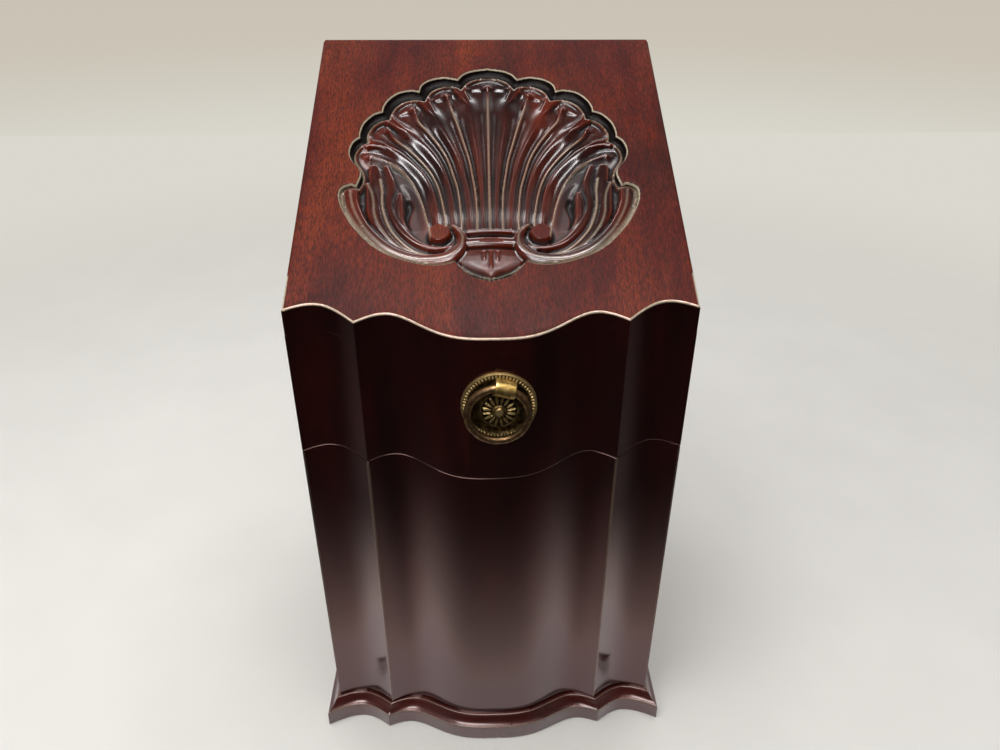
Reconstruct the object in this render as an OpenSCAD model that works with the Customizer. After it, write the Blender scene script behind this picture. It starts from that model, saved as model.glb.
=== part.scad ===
// Knife box with a serpentine front: a tall carcass on a moulded plinth, a hinged lid that follows
// the slope of the box and carries a sunk shell carving, a pierced rack inside for the cutlery, and
// a brass ring pull. +Z is up, the front faces -Y, and the origin is the middle of the base.
// "Forward" distances are measured towards -Y from the line through the two front corners.

/* [Box] */
// Width of the box over its sides
body_w = 205; // [195:1:215]
// Depth from the front corners to the back
body_d = 191; // [180:1:205]
// Height of the lid's top at the front corners
front_h = 302; // [285:1:320]
// Slope of the lid and of the joint below it, in degrees
slope = 27; // [24:1:30]
// Height of the lid's walls, measured straight up
lid_wall_h = 83.5; // [70:0.5:95]

/* [Serpentine front] */
// How far the middle bulge stands forward of the corners
bulge = 16; // [12:0.5:20]
// Forward reach of the hollows beside the bulge
inner_hollow = 2.1; // [1:0.1:4]
// Distance of those hollows from the middle
inner_hollow_x = 52; // [48:0.5:56]
// Forward reach of the sharp arrises
arris = 6.5; // [5:0.5:8]
// Distance of the arrises from the middle
arris_x = 67; // [63:0.5:71]
// How far the outer hollows lie behind the corners
outer_hollow = 3.5; // [2:0.5:5]
// Distance of the outer hollows from the middle
outer_hollow_x = 88; // [84:0.5:91]

/* [Boards] */
// Thickness of the front boards, of the box and of the lid
front_t = 10; // [8:0.5:12]
// Thickness of the side boards
side_t = 9; // [7:0.5:11]
// Thickness of the back boards
back_t = 10; // [9:0.5:12]
// Thickness of the lid's top board, square to its face
top_t = 12; // [10:0.5:14]
// Thickness of the bottom board
bottom_t = 8; // [6:0.5:10]
// Thickness of the baize linings
baize_t = 1.2; // [0.8:0.1:2]
// Gap between the closed lid and the box
lid_gap = 0.3; // [0.2:0.1:0.6]

/* [Plinth] */
// How far the plinth stands out beyond the boards
plinth_out = 7.2; // [5:0.2:9]
// Height of the plinth's upright face
plinth_face_h = 12; // [9:0.5:15]
// Full height of the plinth
plinth_h = 17; // [16:0.5:20]

/* [Rack] */
// Thickness of the rack board
rack_t = 8; // [6:0.5:10]
// How far the rack lies below the box's rim
rack_drop = 7; // [5:0.5:12]
// Width of a knife or fork slot
slot_w = 6; // [5:0.5:8]
// Spacing of the slots in a row
slot_pitch = 29; // [26:0.5:30]
// Wood left between two rows of slots
row_gap = 14; // [10:0.5:16]
// Length of a table knife slot, front to back
knife_slot_l = 28; // [24:1:30]
// Length of a fork slot, front to back
fork_slot_l = 22; // [18:1:24]
// Length of a spoon slot, side to side
spoon_slot_l = 36; // [30:1:38]
// Width of a spoon slot
spoon_slot_w = 13; // [10:1:15]
// Spacing of the spoon slots
spoon_pitch = 51; // [46:1:53]
// Width of the boxwood line inlaid round each slot
string_w = 1.2; // [1:0.1:1.6]
// Depth of the boxwood line
string_deep = 1; // [0.6:0.1:1.6]
// Height and width of the battens under the rack
ledge = 8; // [6:0.5:10]
// Distance of the side battens' front ends behind the front corners
ledge_start = 20; // [16:1:30]

/* [Shell carving] */
// Width of the shell
shell_w = 164; // [150:1:168]
// Depth of the sunk border round the shell
carve_depth = 3.5; // [2:0.5:5]
// Depth of the shell's bowl, where it is deepest
bowl_depth = 6; // [4:0.5:7]

/* [Hinges] */
// Length of a hinge
hinge_l = 45; // [36:1:50]
// Distance from the inside of the side walls to the end of a hinge
hinge_inset = 16; // [10:1:22]
// Reach of a hinge leaf into the joint
leaf_w = 8.6; // [8:0.2:9]
// Thickness of a hinge leaf
leaf_t = 1.2; // [1:0.1:1.5]
// Outer radius of the knuckles
knuckle_r = 2.1; // [1.9:0.1:2.3]
// Radius of the hinge pins
hinge_pin_r = 1; // [0.8:0.1:1.2]
// Running clearance between a pin and its knuckles
pin_play = 0.05; // [0.02:0.01:0.08]

/* [Ring pull] */
// Radius of the backplate
plate_r = 19.1; // [17:0.1:20]
// Distance of the pull's middle from the middle of the front
pull_x = 3; // [-4:0.5:4]
// Depth of the flat seat cut for the backplate, at its edge
seat_sink = 0.2; // [0.1:0.1:0.6]
// Depth of the pull's middle below the front edge of the lid's bulge
pull_drop = 37; // [30:0.5:45]
// Turn of the pull in the face of the box, clockwise, in degrees
pull_turn = 13; // [0:1:15]
// Radius of the ring, to the middle of its wire
ring_r = 15.3; // [14:0.1:15.6]
// Radius of the ring's wire
ring_wire_r = 1.95; // [1.7:0.05:2.1]
// Width of the strap that holds the ring
strap_w = 10.4; // [8:0.2:11]
// Thickness of the strap
strap_t = 1.2; // [1:0.1:1.4]

/* [Hidden] */
half_w = body_w / 2;
inner_x = half_w - side_t;
hinge_x = inner_x - hinge_inset - hinge_l / 2;
rise = tan(slope);
far = 3 * body_d;

// Heights, all taken on the line through the front corners
lid_low = front_h - lid_wall_h;
rim_h = lid_low - lid_gap;
top_drop = top_t / cos(slope);
rack_high = rim_h - rack_drop;
rack_low = rack_high - rack_t / cos(slope);
bottom_z = 6;
well_z = bottom_z + bottom_t;

// Front outline: forward reach of the bulge, then distance from the middle and forward reach of
// the inner hollow, the arris, the outer hollow and the end
BODY_LINE = [bulge, inner_hollow_x, inner_hollow, arris_x, arris,
             outer_hollow_x, -outer_hollow, half_w, 0];
PLINTH_LINE = [bulge + plinth_out, inner_hollow_x + 4, inner_hollow + plinth_out,
               arris_x + 2.5, arris + plinth_out - 1.2, outer_hollow_x,
               plinth_out - outer_hollow, half_w + plinth_out, 1.45 * plinth_out];
bulge_shape = 1.6;

// Steps along each stretch of half the front, as [stretch, part of its length]
STEPS = concat([for (i = [0 : 11]) [0, i / 12]], [for (i = [0 : 3]) [1, i / 4]],
               [for (i = [0 : 5]) [2, i / 6]], [for (i = [0 : 4]) [3, i / 4]]);

// One point of a front outline, as distance from the middle and forward reach
function line_point(line, step) =
    let (u = step[1])
    step[0] == 0 ? [line[1] * u,
        line[2] + (line[0] - line[2]) * (1 + cos(180 * pow(u, bulge_shape))) / 2] :
    step[0] == 1 ? [line[1] + (line[3] - line[1]) * u,
        line[2] + (line[4] - line[2]) * (1 - cos(90 * u))] :
    step[0] == 2 ? [line[3] + (line[5] - line[3]) * u,
        line[6] + (line[4] - line[6]) * (1 - sin(90 * u))] :
    [line[5] + (line[7] - line[5]) * u,
        line[6] + (line[8] - line[6]) * (1 - cos(90 * u))];

// The whole outline from left to right
function whole_line(line) =
    let (half = [for (step = STEPS) line_point(line, step)], last = len(half) - 1)
    concat([for (i = [last : -1 : 1]) [-half[i][0], half[i][1]]], half);

// Forward reach of the body outline at distance x from the middle, in straight steps
function reach(x) = lookup(x, whole_line(BODY_LINE));

// Pull: heights above the flat seat that is cut for the backplate
seat_reach = reach(pull_x + plate_r) - seat_sink;
pull_z = front_h - rise * bulge - pull_drop;
ring_out = 7.9;
ring_drop = 2.4;
strap_in_r = 2.8;
strap_out_r = strap_in_r + strap_t;
hinge_of_ring = ring_r - ring_drop - 0.3;
tang_high = hinge_of_ring + strap_out_r;
clench_l = 8;
clench_out = seat_reach - reach(pull_x) + front_t + 0.5;

// Lid hinge: a frame on the back face at the joint, turned with the slope
knuckle_out = 2.7;
knuckle_up = lid_gap * cos(slope) / 2;
leaf_up = lid_gap * cos(slope);
screw_in = 5;
knuckle_gap = 0.3;
barrel_l = hinge_l / 3;
hinge_reach = knuckle_out * cos(slope) - knuckle_up * sin(slope) + knuckle_r;

// The box is placed so that the origin is the middle of its whole footprint
front_reach = seat_reach + ring_out + strap_out_r;
front_y = (front_reach - body_d - hinge_reach) / 2;
back_y = front_y + body_d;

// Rack slots: rows of [distance behind the front corners, length, width, spacing, count], each
// row set in front of the one behind it
knife_y = body_d - back_t - ledge - row_gap / 2 - knife_slot_l / 2;
fork_y = knife_y - knife_slot_l / 2 - row_gap - fork_slot_l / 2;
dessert_y = fork_y - row_gap - fork_slot_l;
spoon_y = dessert_y - fork_slot_l / 2 - row_gap - spoon_slot_w / 2;
ROWS = [[knife_y, knife_slot_l, slot_w, slot_pitch, 6],
        [fork_y, fork_slot_l, slot_w, slot_pitch, 6],
        [dessert_y, fork_slot_l, slot_w, slot_pitch, 6],
        [spoon_y, spoon_slot_w, spoon_slot_l, spoon_pitch, 3]];
function row_front(row) = row[0] - row[1] / 2;
function row_back(row) = row[0] + row[1] / 2;

// Shell carving, for a shell 164 wide: the eye of each scroll and nine scallops, as [distance
// from the middle, distance up the slope, radius]
shell_k = shell_w / 164;
EYE = [26, 51, 6.2];
SCALLOPS = [[0, 167, 17.4], [22, 158, 14.5], [43, 143.5, 14], [60, 121, 14.5], [69, 98, 11]];
// Raised lines of the carving, each a row of [distance from the middle, distance up the slope,
// half width at the foot, depth of the crest below the lid's face]: the fan's ribs, then the
// scroll and two leaves
RIBS = [[[0, 168, 5, 1], [0, 134, 3.5, 2.5], [0, 92, 2.5, 4.6], [0, 57, 1.7, 1.8]],
        [[24.3, 161, 5, 1], [16.7, 132, 3.5, 2.5], [8.7, 94, 2.5, 4.6], [6.9, 57, 1.7, 1.8]],
        [[43.2, 148.4, 5, 1], [31, 124.5, 3.5, 2.5], [18.7, 94, 2.5, 4.4], [15.2, 57, 1.7, 1.8]],
        [[57, 131, 5, 1], [40, 110, 3.5, 2.5], [28.2, 88, 2.5, 4], [23.6, 58, 1.7, 2.4]],
        [[64, 109, 4, 1], [49.5, 99.5, 3.5, 2], [37.5, 78, 2.5, 3], [31.6, 54, 1.7, 3]]];
STRANDS = [[[73.6, 76, 3, 1], [70, 62.3, 4.2, 0.6], [60.7, 48, 4.2, 0.6], [47.1, 36.9, 4.3, 0.6],
            [30, 33.8, 4.5, 0.6], [17.9, 38.7, 4.2, 0.6], [14.6, 48.7, 3.2, 0.6],
            [21, 56.3, 2, 0.8]],
           [[66.5, 87, 3, 1.4], [61.8, 66.6, 3.8, 1.6], [51.4, 46.6, 2.6, 2], [38, 38, 1.5, 2]],
           [[56.5, 99, 2.5, 1.2], [53.9, 83.7, 2.6, 1.6], [53.6, 68, 2.7, 1.5],
            [45, 51.6, 2.9, 1.4], [31.4, 41.6, 2.2, 1]]];
// Collar below the fan: two rolls, as [distance up the slope, half width, depth of the crest]
ROLLS = [[53, 2, 1], [44.6, 3.8, 0.6]];
collar_w = 24;
crest_r = 0.4;
$fn = 96;

// Everything below this sloped plane and above the floor; height is at the front corners
module under_slope(height, low = 0) {
    translate([-far / 2, 0, 0])
        rotate([90, 0, 90])
            linear_extrude(far)
                polygon([[front_y - body_d / 4, low], [back_y + body_d / 4, low],
                         [back_y + body_d / 4, height + 1.25 * body_d * rise],
                         [front_y - body_d / 4, height - body_d / 4 * rise]]);
}

// Everything between two parallel sloped planes
module between_slopes(low, high) {
    translate([-far / 2, 0, 0])
        rotate([90, 0, 90])
            linear_extrude(far)
                polygon([for (p = [[-0.25, low], [1.25, low], [1.25, high], [-0.25, high]])
                         [front_y + p[0] * body_d, p[1] + p[0] * body_d * rise]]);
}

// Plan of the box's outside
module plan_outside() {
    polygon(concat([for (p = whole_line(BODY_LINE)) [p[0], front_y - p[1]]],
                   [[half_w, back_y], [-half_w, back_y]]));
}

// Plan of the front board, between the sides
module plan_front() {
    line = [for (p = whole_line(BODY_LINE)) if (abs(p[0]) < inner_x) p];
    ends = concat([[-inner_x, reach(inner_x)]], line, [[inner_x, reach(inner_x)]]);
    last = len(ends) - 1;
    polygon(concat([for (p = ends) [p[0], front_y - p[1]]],
                   [for (i = [last : -1 : 0]) [ends[i][0], front_y - ends[i][1] + front_t]]));
}

// Plan of the space inside the four walls
module plan_inside() {
    line = [for (p = whole_line(BODY_LINE)) if (abs(p[0]) < inner_x) p];
    ends = concat([[-inner_x, reach(inner_x)]], line, [[inner_x, reach(inner_x)]]);
    polygon(concat([for (p = ends) [p[0], front_y - p[1] + front_t]],
                   [[inner_x, back_y - back_t], [-inner_x, back_y - back_t]]));
}

// Plan of the right side board
module plan_side() {
    line = [for (p = whole_line(BODY_LINE)) if (p[0] > inner_x) p];
    polygon(concat([[inner_x, front_y - reach(inner_x)]],
                   [for (p = line) [p[0], front_y - p[1]]],
                   [[half_w, back_y], [inner_x, back_y]]));
}

// Plan of the back board, between the sides
module plan_back() {
    translate([-inner_x, back_y - back_t])
        square([2 * inner_x, back_t]);
}

// An upright board of the box, from the floor to the rim
module body_board() {
    intersection() {
        linear_extrude(far) children();
        under_slope(rim_h);
    }
}

// An upright board of the lid, from the joint to the underside of the top board
module lid_board() {
    intersection() {
        linear_extrude(far) children();
        between_slopes(lid_low, front_h - top_drop);
    }
}

// ---- Box ----

module front_panel() {
    color("#2a0d10") body_board() plan_front();
}

module side_panel_right() {
    color("#3a1214") body_board() plan_side();
}

module side_panel_left() {
    color("#3a1214") body_board() mirror([1, 0]) plan_side();
}

module back_panel() {
    color("#3a1214")
        difference() {
            body_board() plan_back();
            at_hinges() {
                body_leaf_plate();
                mirror([0, 0, 1]) leaf_screws();
            }
        }
}

module bottom_board() {
    color("#a8794c")
        translate([0, 0, bottom_z])
            linear_extrude(bottom_t) plan_inside();
}

module well_lining() {
    color("#2f4a33")
        translate([0, 0, well_z])
            linear_extrude(baize_t) plan_inside();
}

// Small blocks glued in the angle under the bottom board
module glue_blocks() {
    block = [26, 12, bottom_z - 1];
    color("#a8794c")
        translate([0, 0, 1]) {
            for (side = [-1, 1])
                for (along = [0.25, 0.75])
                    translate([side * (inner_x - block[1] / 2) - block[1] / 2,
                               front_y + along * body_d - block[0] / 2, 0])
                        cube([block[1], block[0], block[2]]);
            for (across = [-0.5, 0.5])
                translate([across * inner_x - block[0] / 2, back_y - back_t - block[1], 0])
                    cube(block);
        }
}

// ---- Plinth ----

// Profile as [part of the full projection, height]
PLINTH_PROFILE = [[0, 0], [1, 0], [1, plinth_face_h],
                  [0.62, plinth_face_h + 0.36 * (plinth_h - plinth_face_h)],
                  [0.26, plinth_h], [0, plinth_h]];

module plinth_front() {
    rings = [for (p = PLINTH_PROFILE)
             [for (q = whole_line(BODY_LINE + p[0] * (PLINTH_LINE - BODY_LINE)))
              [q[0], front_y - q[1], p[1]]]];
    count = len(rings[0]);
    levels = len(rings);
    faces = concat(
        [for (i = [0 : count - 2]) for (k = [0 : levels - 1])
            let (n = (k + 1) % levels) [k * count + i, k * count + i + 1, n * count + i + 1]],
        [for (i = [0 : count - 2]) for (k = [0 : levels - 1])
            let (n = (k + 1) % levels) [k * count + i, n * count + i + 1, n * count + i]],
        [[for (k = [0 : levels - 1]) k * count]],
        [[for (k = [levels - 1 : -1 : 0]) k * count + count - 1]]);
    color("#2a0d10") polyhedron(concat(rings[0], rings[1], rings[2], rings[3], rings[4], rings[5]),
                                faces, convexity = 6);
}

module plinth_right() {
    mitre = PLINTH_LINE[8];
    color("#2a0d10")
        intersection() {
            translate([half_w, back_y, 0])
                rotate([90, 0, 0])
                    linear_extrude(body_d + mitre)
                        polygon([for (p = PLINTH_PROFILE) [p[0] * plinth_out, p[1]]]);
            linear_extrude(plinth_h)
                polygon([[half_w, front_y], [half_w + plinth_out, front_y - mitre],
                         [half_w + plinth_out, back_y], [half_w, back_y]]);
        }
}

module plinth_left() {
    mirror([1, 0, 0]) plinth_right();
}

// ---- Rack ----

module each_slot(grow = 0) {
    for (row = ROWS)
        for (i = [0 : row[4] - 1])
            translate([(i - (row[4] - 1) / 2) * row[3], front_y + row[0]])
                square([row[2] + 2 * grow, row[1] + 2 * grow], center = true);
}

// Bands round the slots, let in from the top; a rebate is cut open above the rack
module stringing_band(open = 0) {
    intersection() {
        linear_extrude(far)
            difference() {
                each_slot(string_w);
                each_slot();
            }
        between_slopes(rack_high - string_deep, rack_high + open);
    }
}

// A piece of the rack, from its outline in plan: fitted to the walls and rebated for the lines
module rack_piece() {
    color("#5a2318")
        difference() {
            intersection() {
                linear_extrude(far)
                    intersection() {
                        plan_inside();
                        children();
                    }
                between_slopes(rack_low, rack_high);
            }
            stringing_band(string_deep);
        }
}

// A rail across the rack between two distances behind the front corners
module rack_rail(from, to) {
    rack_piece()
        translate([-inner_x, front_y + from])
            square([2 * inner_x, to - from]);
}

module rack_rail_front() {
    rack_rail(-bulge, row_front(ROWS[3]));
}

module rack_rails() {
    for (r = [0 : 3])
        rack_rail(row_back(ROWS[r]), r == 0 ? body_d - back_t : row_front(ROWS[r - 1]));
}

// The slips of one row, glued between two rails with the slots left between them
module rack_slips(row) {
    rack_piece()
        for (i = [0 : row[4]]) {
            left = i == 0 ? -inner_x : (i - (row[4] + 1) / 2) * row[3] + row[2] / 2;
            right = i == row[4] ? inner_x : (i - (row[4] - 1) / 2) * row[3] - row[2] / 2;
            translate([left, front_y + row_front(row)])
                square([right - left, row[1]]);
        }
}

module slot_stringing() {
    color("#c9a063") stringing_band();
}

// Battens that carry the rack, glued to the walls
module rack_ledge_right() {
    color("#a8794c")
        intersection() {
            translate([inner_x - ledge, front_y + ledge_start, 0])
                cube([ledge, body_d - ledge_start - back_t, far]);
            between_slopes(rack_low - ledge, rack_low);
        }
}

module rack_ledge_left() {
    mirror([1, 0, 0]) rack_ledge_right();
}

module rack_ledge_back() {
    color("#a8794c")
        intersection() {
            translate([ledge - inner_x, back_y - back_t - ledge, 0])
                cube([2 * (inner_x - ledge), ledge, far]);
            between_slopes(rack_low - 1.6 * ledge, rack_low);
        }
}

// ---- Lid ----

// A frame in the lid's top: X across, Y up the slope from the front corners, Z out of the face
module on_lid_top() {
    translate([0, front_y, front_h])
        rotate([slope, 0, 0]) children();
}

// Sunk border of the shell: the scallops, the fan below them and the scrolls' field
module shell_ground() {
    on_lid_top()
        translate([0, 0, -carve_depth])
            linear_extrude(2 * carve_depth)
                scale(shell_k)
                    for (side = [-1, 1])
                        for (s = SCALLOPS)
                            translate([side * s[0], s[1]]) circle(s[2], $fn = 40);
    on_lid_top()
        translate([0, 0, -carve_depth])
            linear_extrude(2 * carve_depth)
                scale(shell_k)
                    polygon([[-70, 95], [-74, 78], [-69, 55], [-58, 43], [-40, 32], [-17, 38],
                             [-12, 24], [0, 18], [12, 24], [17, 38], [40, 32], [58, 43],
                             [69, 55], [74, 78], [70, 95], [56, 125], [22, 158], [0, 168],
                             [-22, 158], [-56, 125]]);
}

// Hollow of the fan, deepest above the collar
module shell_bowl() {
    on_lid_top()
        scale([shell_k, shell_k, 1])
            hull() {
                translate([0, 0, -carve_depth])
                    linear_extrude(carve_depth)
                        polygon([[-30, 58], [-52, 102], [-38, 134], [0, 152], [38, 134],
                                 [52, 102], [30, 58]]);
                translate([0, 0, -bowl_depth])
                    linear_extrude(carve_depth)
                        polygon([[-22, 68], [-28, 100], [0, 114], [28, 100], [22, 68]]);
            }
}

// A raised line with a narrow crest, from point to point, and the same on the left
module raised_line(points, sides) {
    on_lid_top()
        scale([shell_k, shell_k, 1])
            for (side = [-1, 1])
                for (i = [1:len(points) - 1])
                    hull()
                        for (p = [points[i - 1], points[i]])
                            translate([side * p[0], p[1], -bowl_depth - crest_r])
                                cylinder(h = bowl_depth + crest_r - p[3], r1 = p[2],
                                         r2 = crest_r, $fn = sides);
}

module collar_roll(roll) {
    on_lid_top()
        scale([shell_k, shell_k, 1])
            translate([0, roll[0], -roll[2] - roll[1]])
                rotate([0, 90, 0])
                    cylinder(h = collar_w, r = roll[1], center = true, $fn = 12);
}

// Shield below the collar, thinning to its tip
module shell_tail() {
    on_lid_top()
        scale([shell_k, shell_k, 1])
            translate([0, 0, -carve_depth - crest_r])
                linear_extrude(carve_depth + crest_r - 1.2, scale = 0.9)
                    polygon([[-12, 41], [-10.5, 32], [0, 22], [10.5, 32], [12, 41]]);
}

module lid_top() {
    color("#6a2a1e")
        difference() {
            intersection() {
                linear_extrude(far) plan_outside();
                between_slopes(front_h - top_drop, front_h);
            }
            shell_ground();
            shell_bowl();
        }
    color("#6a2a1e") {
        for (points = RIBS) raised_line(points, 6);
        for (points = STRANDS) raised_line(points, 6);
        for (roll = ROLLS) collar_roll(roll);
        shell_tail();
        on_lid_top()
            scale([shell_k, shell_k, 1])
                for (side = [-1, 1])
                    translate([side * EYE[0], EYE[1], -bowl_depth])
                        cylinder(h = bowl_depth - 0.2, r = EYE[2], $fn = 24);
    }
}

module lid_front() {
    color("#2a0d10")
        difference() {
            lid_board() plan_front();
            at_pull() {
                cylinder(h = bulge, r = plate_r);
                strap_blank();
            }
        }
}

module lid_side_right() {
    color("#3a1214") lid_board() plan_side();
}

module lid_side_left() {
    color("#3a1214") lid_board() mirror([1, 0]) plan_side();
}

module lid_back() {
    color("#3a1214")
        difference() {
            lid_board() plan_back();
            at_hinges() {
                lid_leaf_plate();
                translate([0, 0, leaf_up]) leaf_screws();
            }
        }
}

module lid_lining() {
    color("#2f4a33")
        intersection() {
            linear_extrude(far) plan_inside();
            between_slopes(front_h - top_drop - baize_t, front_h - top_drop);
        }
}

// ---- Lid hinges ----

// A frame at each hinge's middle, on the back edge of the box's rim: X along the hinge, Y up the
// slope and outward, Z square to the joint
module at_hinge(side) {
    translate([side * hinge_x, back_y, rim_h + body_d * rise])
        rotate([slope, 0, 0]) children();
}

module at_hinges() {
    for (side = [-1, 1])
        at_hinge(side) children();
}

module barrel(from, to, radius) {
    translate([from, knuckle_out, knuckle_up])
        rotate([0, 90, 0]) cylinder(h = to - from, r = radius);
}

// A screw with a countersunk head, its face at the leaf's open side
module leaf_screw() {
    translate([0, 0, leaf_t]) cylinder(h = screw_in - leaf_t, r = 0.9);
    cylinder(h = leaf_t, r1 = 2, r2 = 0.9);
}

module leaf_screws() {
    for (at = [-1, 0, 1])
        translate([at * hinge_l / 3, -0.55 * leaf_w, 0]) leaf_screw();
}

module body_leaf_plate() {
    translate([-hinge_l / 2, -leaf_w, -leaf_t])
        cube([hinge_l, leaf_w, leaf_t]);
}

module lid_leaf_plate() {
    translate([-hinge_l / 2, -leaf_w, leaf_up])
        cube([hinge_l, leaf_w, leaf_t]);
    translate([-barrel_l / 2, -1, leaf_up])
        cube([barrel_l, knuckle_out + 1, leaf_t]);
}

// The leaf on the box: its plate, and the two outer knuckles with their straps
module body_leaf() {
    color("#7d6a3c")
        difference() {
            union() {
                body_leaf_plate();
                for (side = [-1, 1])
                    translate([side * barrel_l - barrel_l / 2, 0, 0]) {
                        translate([side < 0 ? 0 : knuckle_gap, -1, -leaf_t])
                            cube([barrel_l - knuckle_gap, knuckle_out + 1, leaf_t]);
                        barrel(side < 0 ? 0 : knuckle_gap,
                               barrel_l - (side < 0 ? knuckle_gap : 0), knuckle_r);
                    }
            }
            barrel(-hinge_l, hinge_l, hinge_pin_r);
            mirror([0, 0, 1]) leaf_screws();
        }
}

// The leaf on the lid: its plate and the middle knuckle, which turns on the pin
module lid_leaf() {
    color("#7d6a3c")
        difference() {
            union() {
                lid_leaf_plate();
                barrel(-barrel_l / 2, barrel_l / 2, knuckle_r);
            }
            barrel(-hinge_l, hinge_l, hinge_pin_r + pin_play);
            translate([0, 0, leaf_up]) leaf_screws();
        }
}

module hinge_pin() {
    color("#6b5a34") barrel(-hinge_l / 2, hinge_l / 2, hinge_pin_r);
}

module hinge_screws_body() {
    color("#8a7440") at_hinges() mirror([0, 0, 1]) leaf_screws();
}

module hinge_screws_lid() {
    color("#8a7440") at_hinges() translate([0, 0, leaf_up]) leaf_screws();
}

// ---- Ring pull ----

// A frame at the middle of the backplate's back: X right, Y up, Z out of the front
module at_pull() {
    translate([pull_x, front_y - seat_reach, pull_z])
        rotate([0, pull_turn, 0])
            rotate([90, 0, 0]) children();
}

// The strap's loop, tang and clenched ends as one shape, with no room for the ring's wire
module strap_outline() {
    translate([-ring_out, hinge_of_ring]) circle(strap_out_r);
    translate([-ring_out, tang_high - 2 * strap_t])
        square([ring_out + clench_out, 2 * strap_t]);
    translate([clench_out - strap_t, tang_high - strap_t - clench_l])
        square([strap_t, 2 * clench_l]);
}

module strap_blank() {
    translate([-strap_w / 2, 0, 0])
        rotate([0, 90, 0])
            linear_extrude(strap_w) strap_outline();
}

// The strap is folded over the ring's wire: its tang goes through the board and its two ends are
// clenched inside
module strap_solid() {
    difference() {
        strap_blank();
        translate([-strap_w, hinge_of_ring, ring_out])
            rotate([0, 90, 0]) cylinder(h = 2 * strap_w, r = strap_in_r);
    }
}

module pull_plate() {
    color("#5a4a2c")
        at_pull()
            difference() {
                rotate_extrude()
                    polygon([[0, 0], [plate_r, 0], [plate_r, 3.4], [plate_r - 0.8, 4.4],
                             [plate_r - 1.8, 4.8], [plate_r - 2.8, 4.2], [plate_r - 3.4, 3],
                             [0.66 * plate_r, 2.8], [0.62 * plate_r, 3.8],
                             [0.55 * plate_r, 6], [0.52 * plate_r, 7.8], [0.47 * plate_r, 7.6],
                             [0.18 * plate_r, 8.2], [0.16 * plate_r, 9], [0.12 * plate_r, 9],
                             [0.1 * plate_r, 9.8], [0, 10]]);
                strap_blank();
            }
}

module pull_strap() {
    color("#8f7a45") at_pull() strap_solid();
}

module pull_ring() {
    color("#5f4d2e")
        at_pull()
            translate([0, -ring_drop, ring_out])
                rotate_extrude()
                    translate([ring_r, 0]) circle(ring_wire_r, $fn = 48);
}

front_panel();
side_panel_left();
side_panel_right();
back_panel();
bottom_board();
well_lining();
glue_blocks();
plinth_front();
plinth_left();
plinth_right();
rack_rail_front();
rack_rails();
rack_slips(ROWS[0]);  // rack_slips_knife
rack_slips(ROWS[1]);  // rack_slips_fork
rack_slips(ROWS[2]);  // rack_slips_dessert
rack_slips(ROWS[3]);  // rack_slips_spoon
slot_stringing();
rack_ledge_left();
rack_ledge_right();
rack_ledge_back();
lid_top();
lid_front();
lid_side_left();
lid_side_right();
lid_back();
lid_lining();
at_hinge(-1) body_leaf();  // hinge_leaf_body_left
at_hinge(1) body_leaf();  // hinge_leaf_body_right
at_hinge(-1) lid_leaf();  // hinge_leaf_lid_left
at_hinge(1) lid_leaf();  // hinge_leaf_lid_right
at_hinge(-1) hinge_pin();  // hinge_pin_left
at_hinge(1) hinge_pin();  // hinge_pin_right
hinge_screws_body();
hinge_screws_lid();
pull_plate();
pull_strap();
pull_ring();
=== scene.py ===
"""The looks of an upright serpentine knife box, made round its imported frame."""

import logging
import math
from dataclasses import dataclass
from enum import Enum
from typing import Any, Callable, Sequence

import bpy
import numpy as np
from mathutils import Matrix, Vector


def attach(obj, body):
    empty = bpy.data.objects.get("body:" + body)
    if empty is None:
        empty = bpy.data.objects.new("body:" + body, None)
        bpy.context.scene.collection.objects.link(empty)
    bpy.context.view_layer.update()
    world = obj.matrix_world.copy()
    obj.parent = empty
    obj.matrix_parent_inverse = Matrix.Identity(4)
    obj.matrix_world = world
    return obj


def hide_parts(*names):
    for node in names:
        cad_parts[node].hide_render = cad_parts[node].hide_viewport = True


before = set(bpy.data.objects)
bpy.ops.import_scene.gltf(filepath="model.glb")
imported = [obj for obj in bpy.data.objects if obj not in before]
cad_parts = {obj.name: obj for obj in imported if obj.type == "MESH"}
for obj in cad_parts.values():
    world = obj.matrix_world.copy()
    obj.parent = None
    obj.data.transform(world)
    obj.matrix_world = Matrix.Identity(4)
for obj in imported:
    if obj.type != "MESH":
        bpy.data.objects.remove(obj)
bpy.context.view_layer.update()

MM = 0.001
SLOPE = math.radians(27.0)
log = logging.getLogger("knife_box")

Array = np.ndarray
Piece = bpy.types.Object
Material = bpy.types.Material
Tree = bpy.types.NodeTree
Socket = bpy.types.NodeSocket
Surface = Callable[[Array], Array]
Points = Sequence[tuple[float, float]]

# Two ways in which a colour is laid on another
OVER = {"data_type": "RGBA", "blend_type": "MIX", "clamp_result": True}
TIMES = {**OVER, "blend_type": "MULTIPLY"}


class Board(Enum):
    """Which way the grain of a mahogany board runs, as turns about X, Y and Z."""

    LID_TOP = (-SLOPE, 0.0, 0.0)
    UPRIGHT = (math.pi / 2, 0.0, 0.0)
    ACROSS = (0.0, 0.0, math.pi / 2)


# ---------------------------------------------------------------- finishes


def linear(code: str) -> tuple[float, ...]:
    """Turns an sRGB hex colour to linear light.

    Args:
        code: six hex digits.

    Returns:
        The linear colour with alpha 1.
    """
    parts = [int(code[i:i + 2], 16) / 255 for i in (0, 2, 4)]
    return (*(c / 12.92 if c <= 0.04045 else ((c + 0.055) / 1.055) ** 2.4 for c in parts), 1.0)


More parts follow.
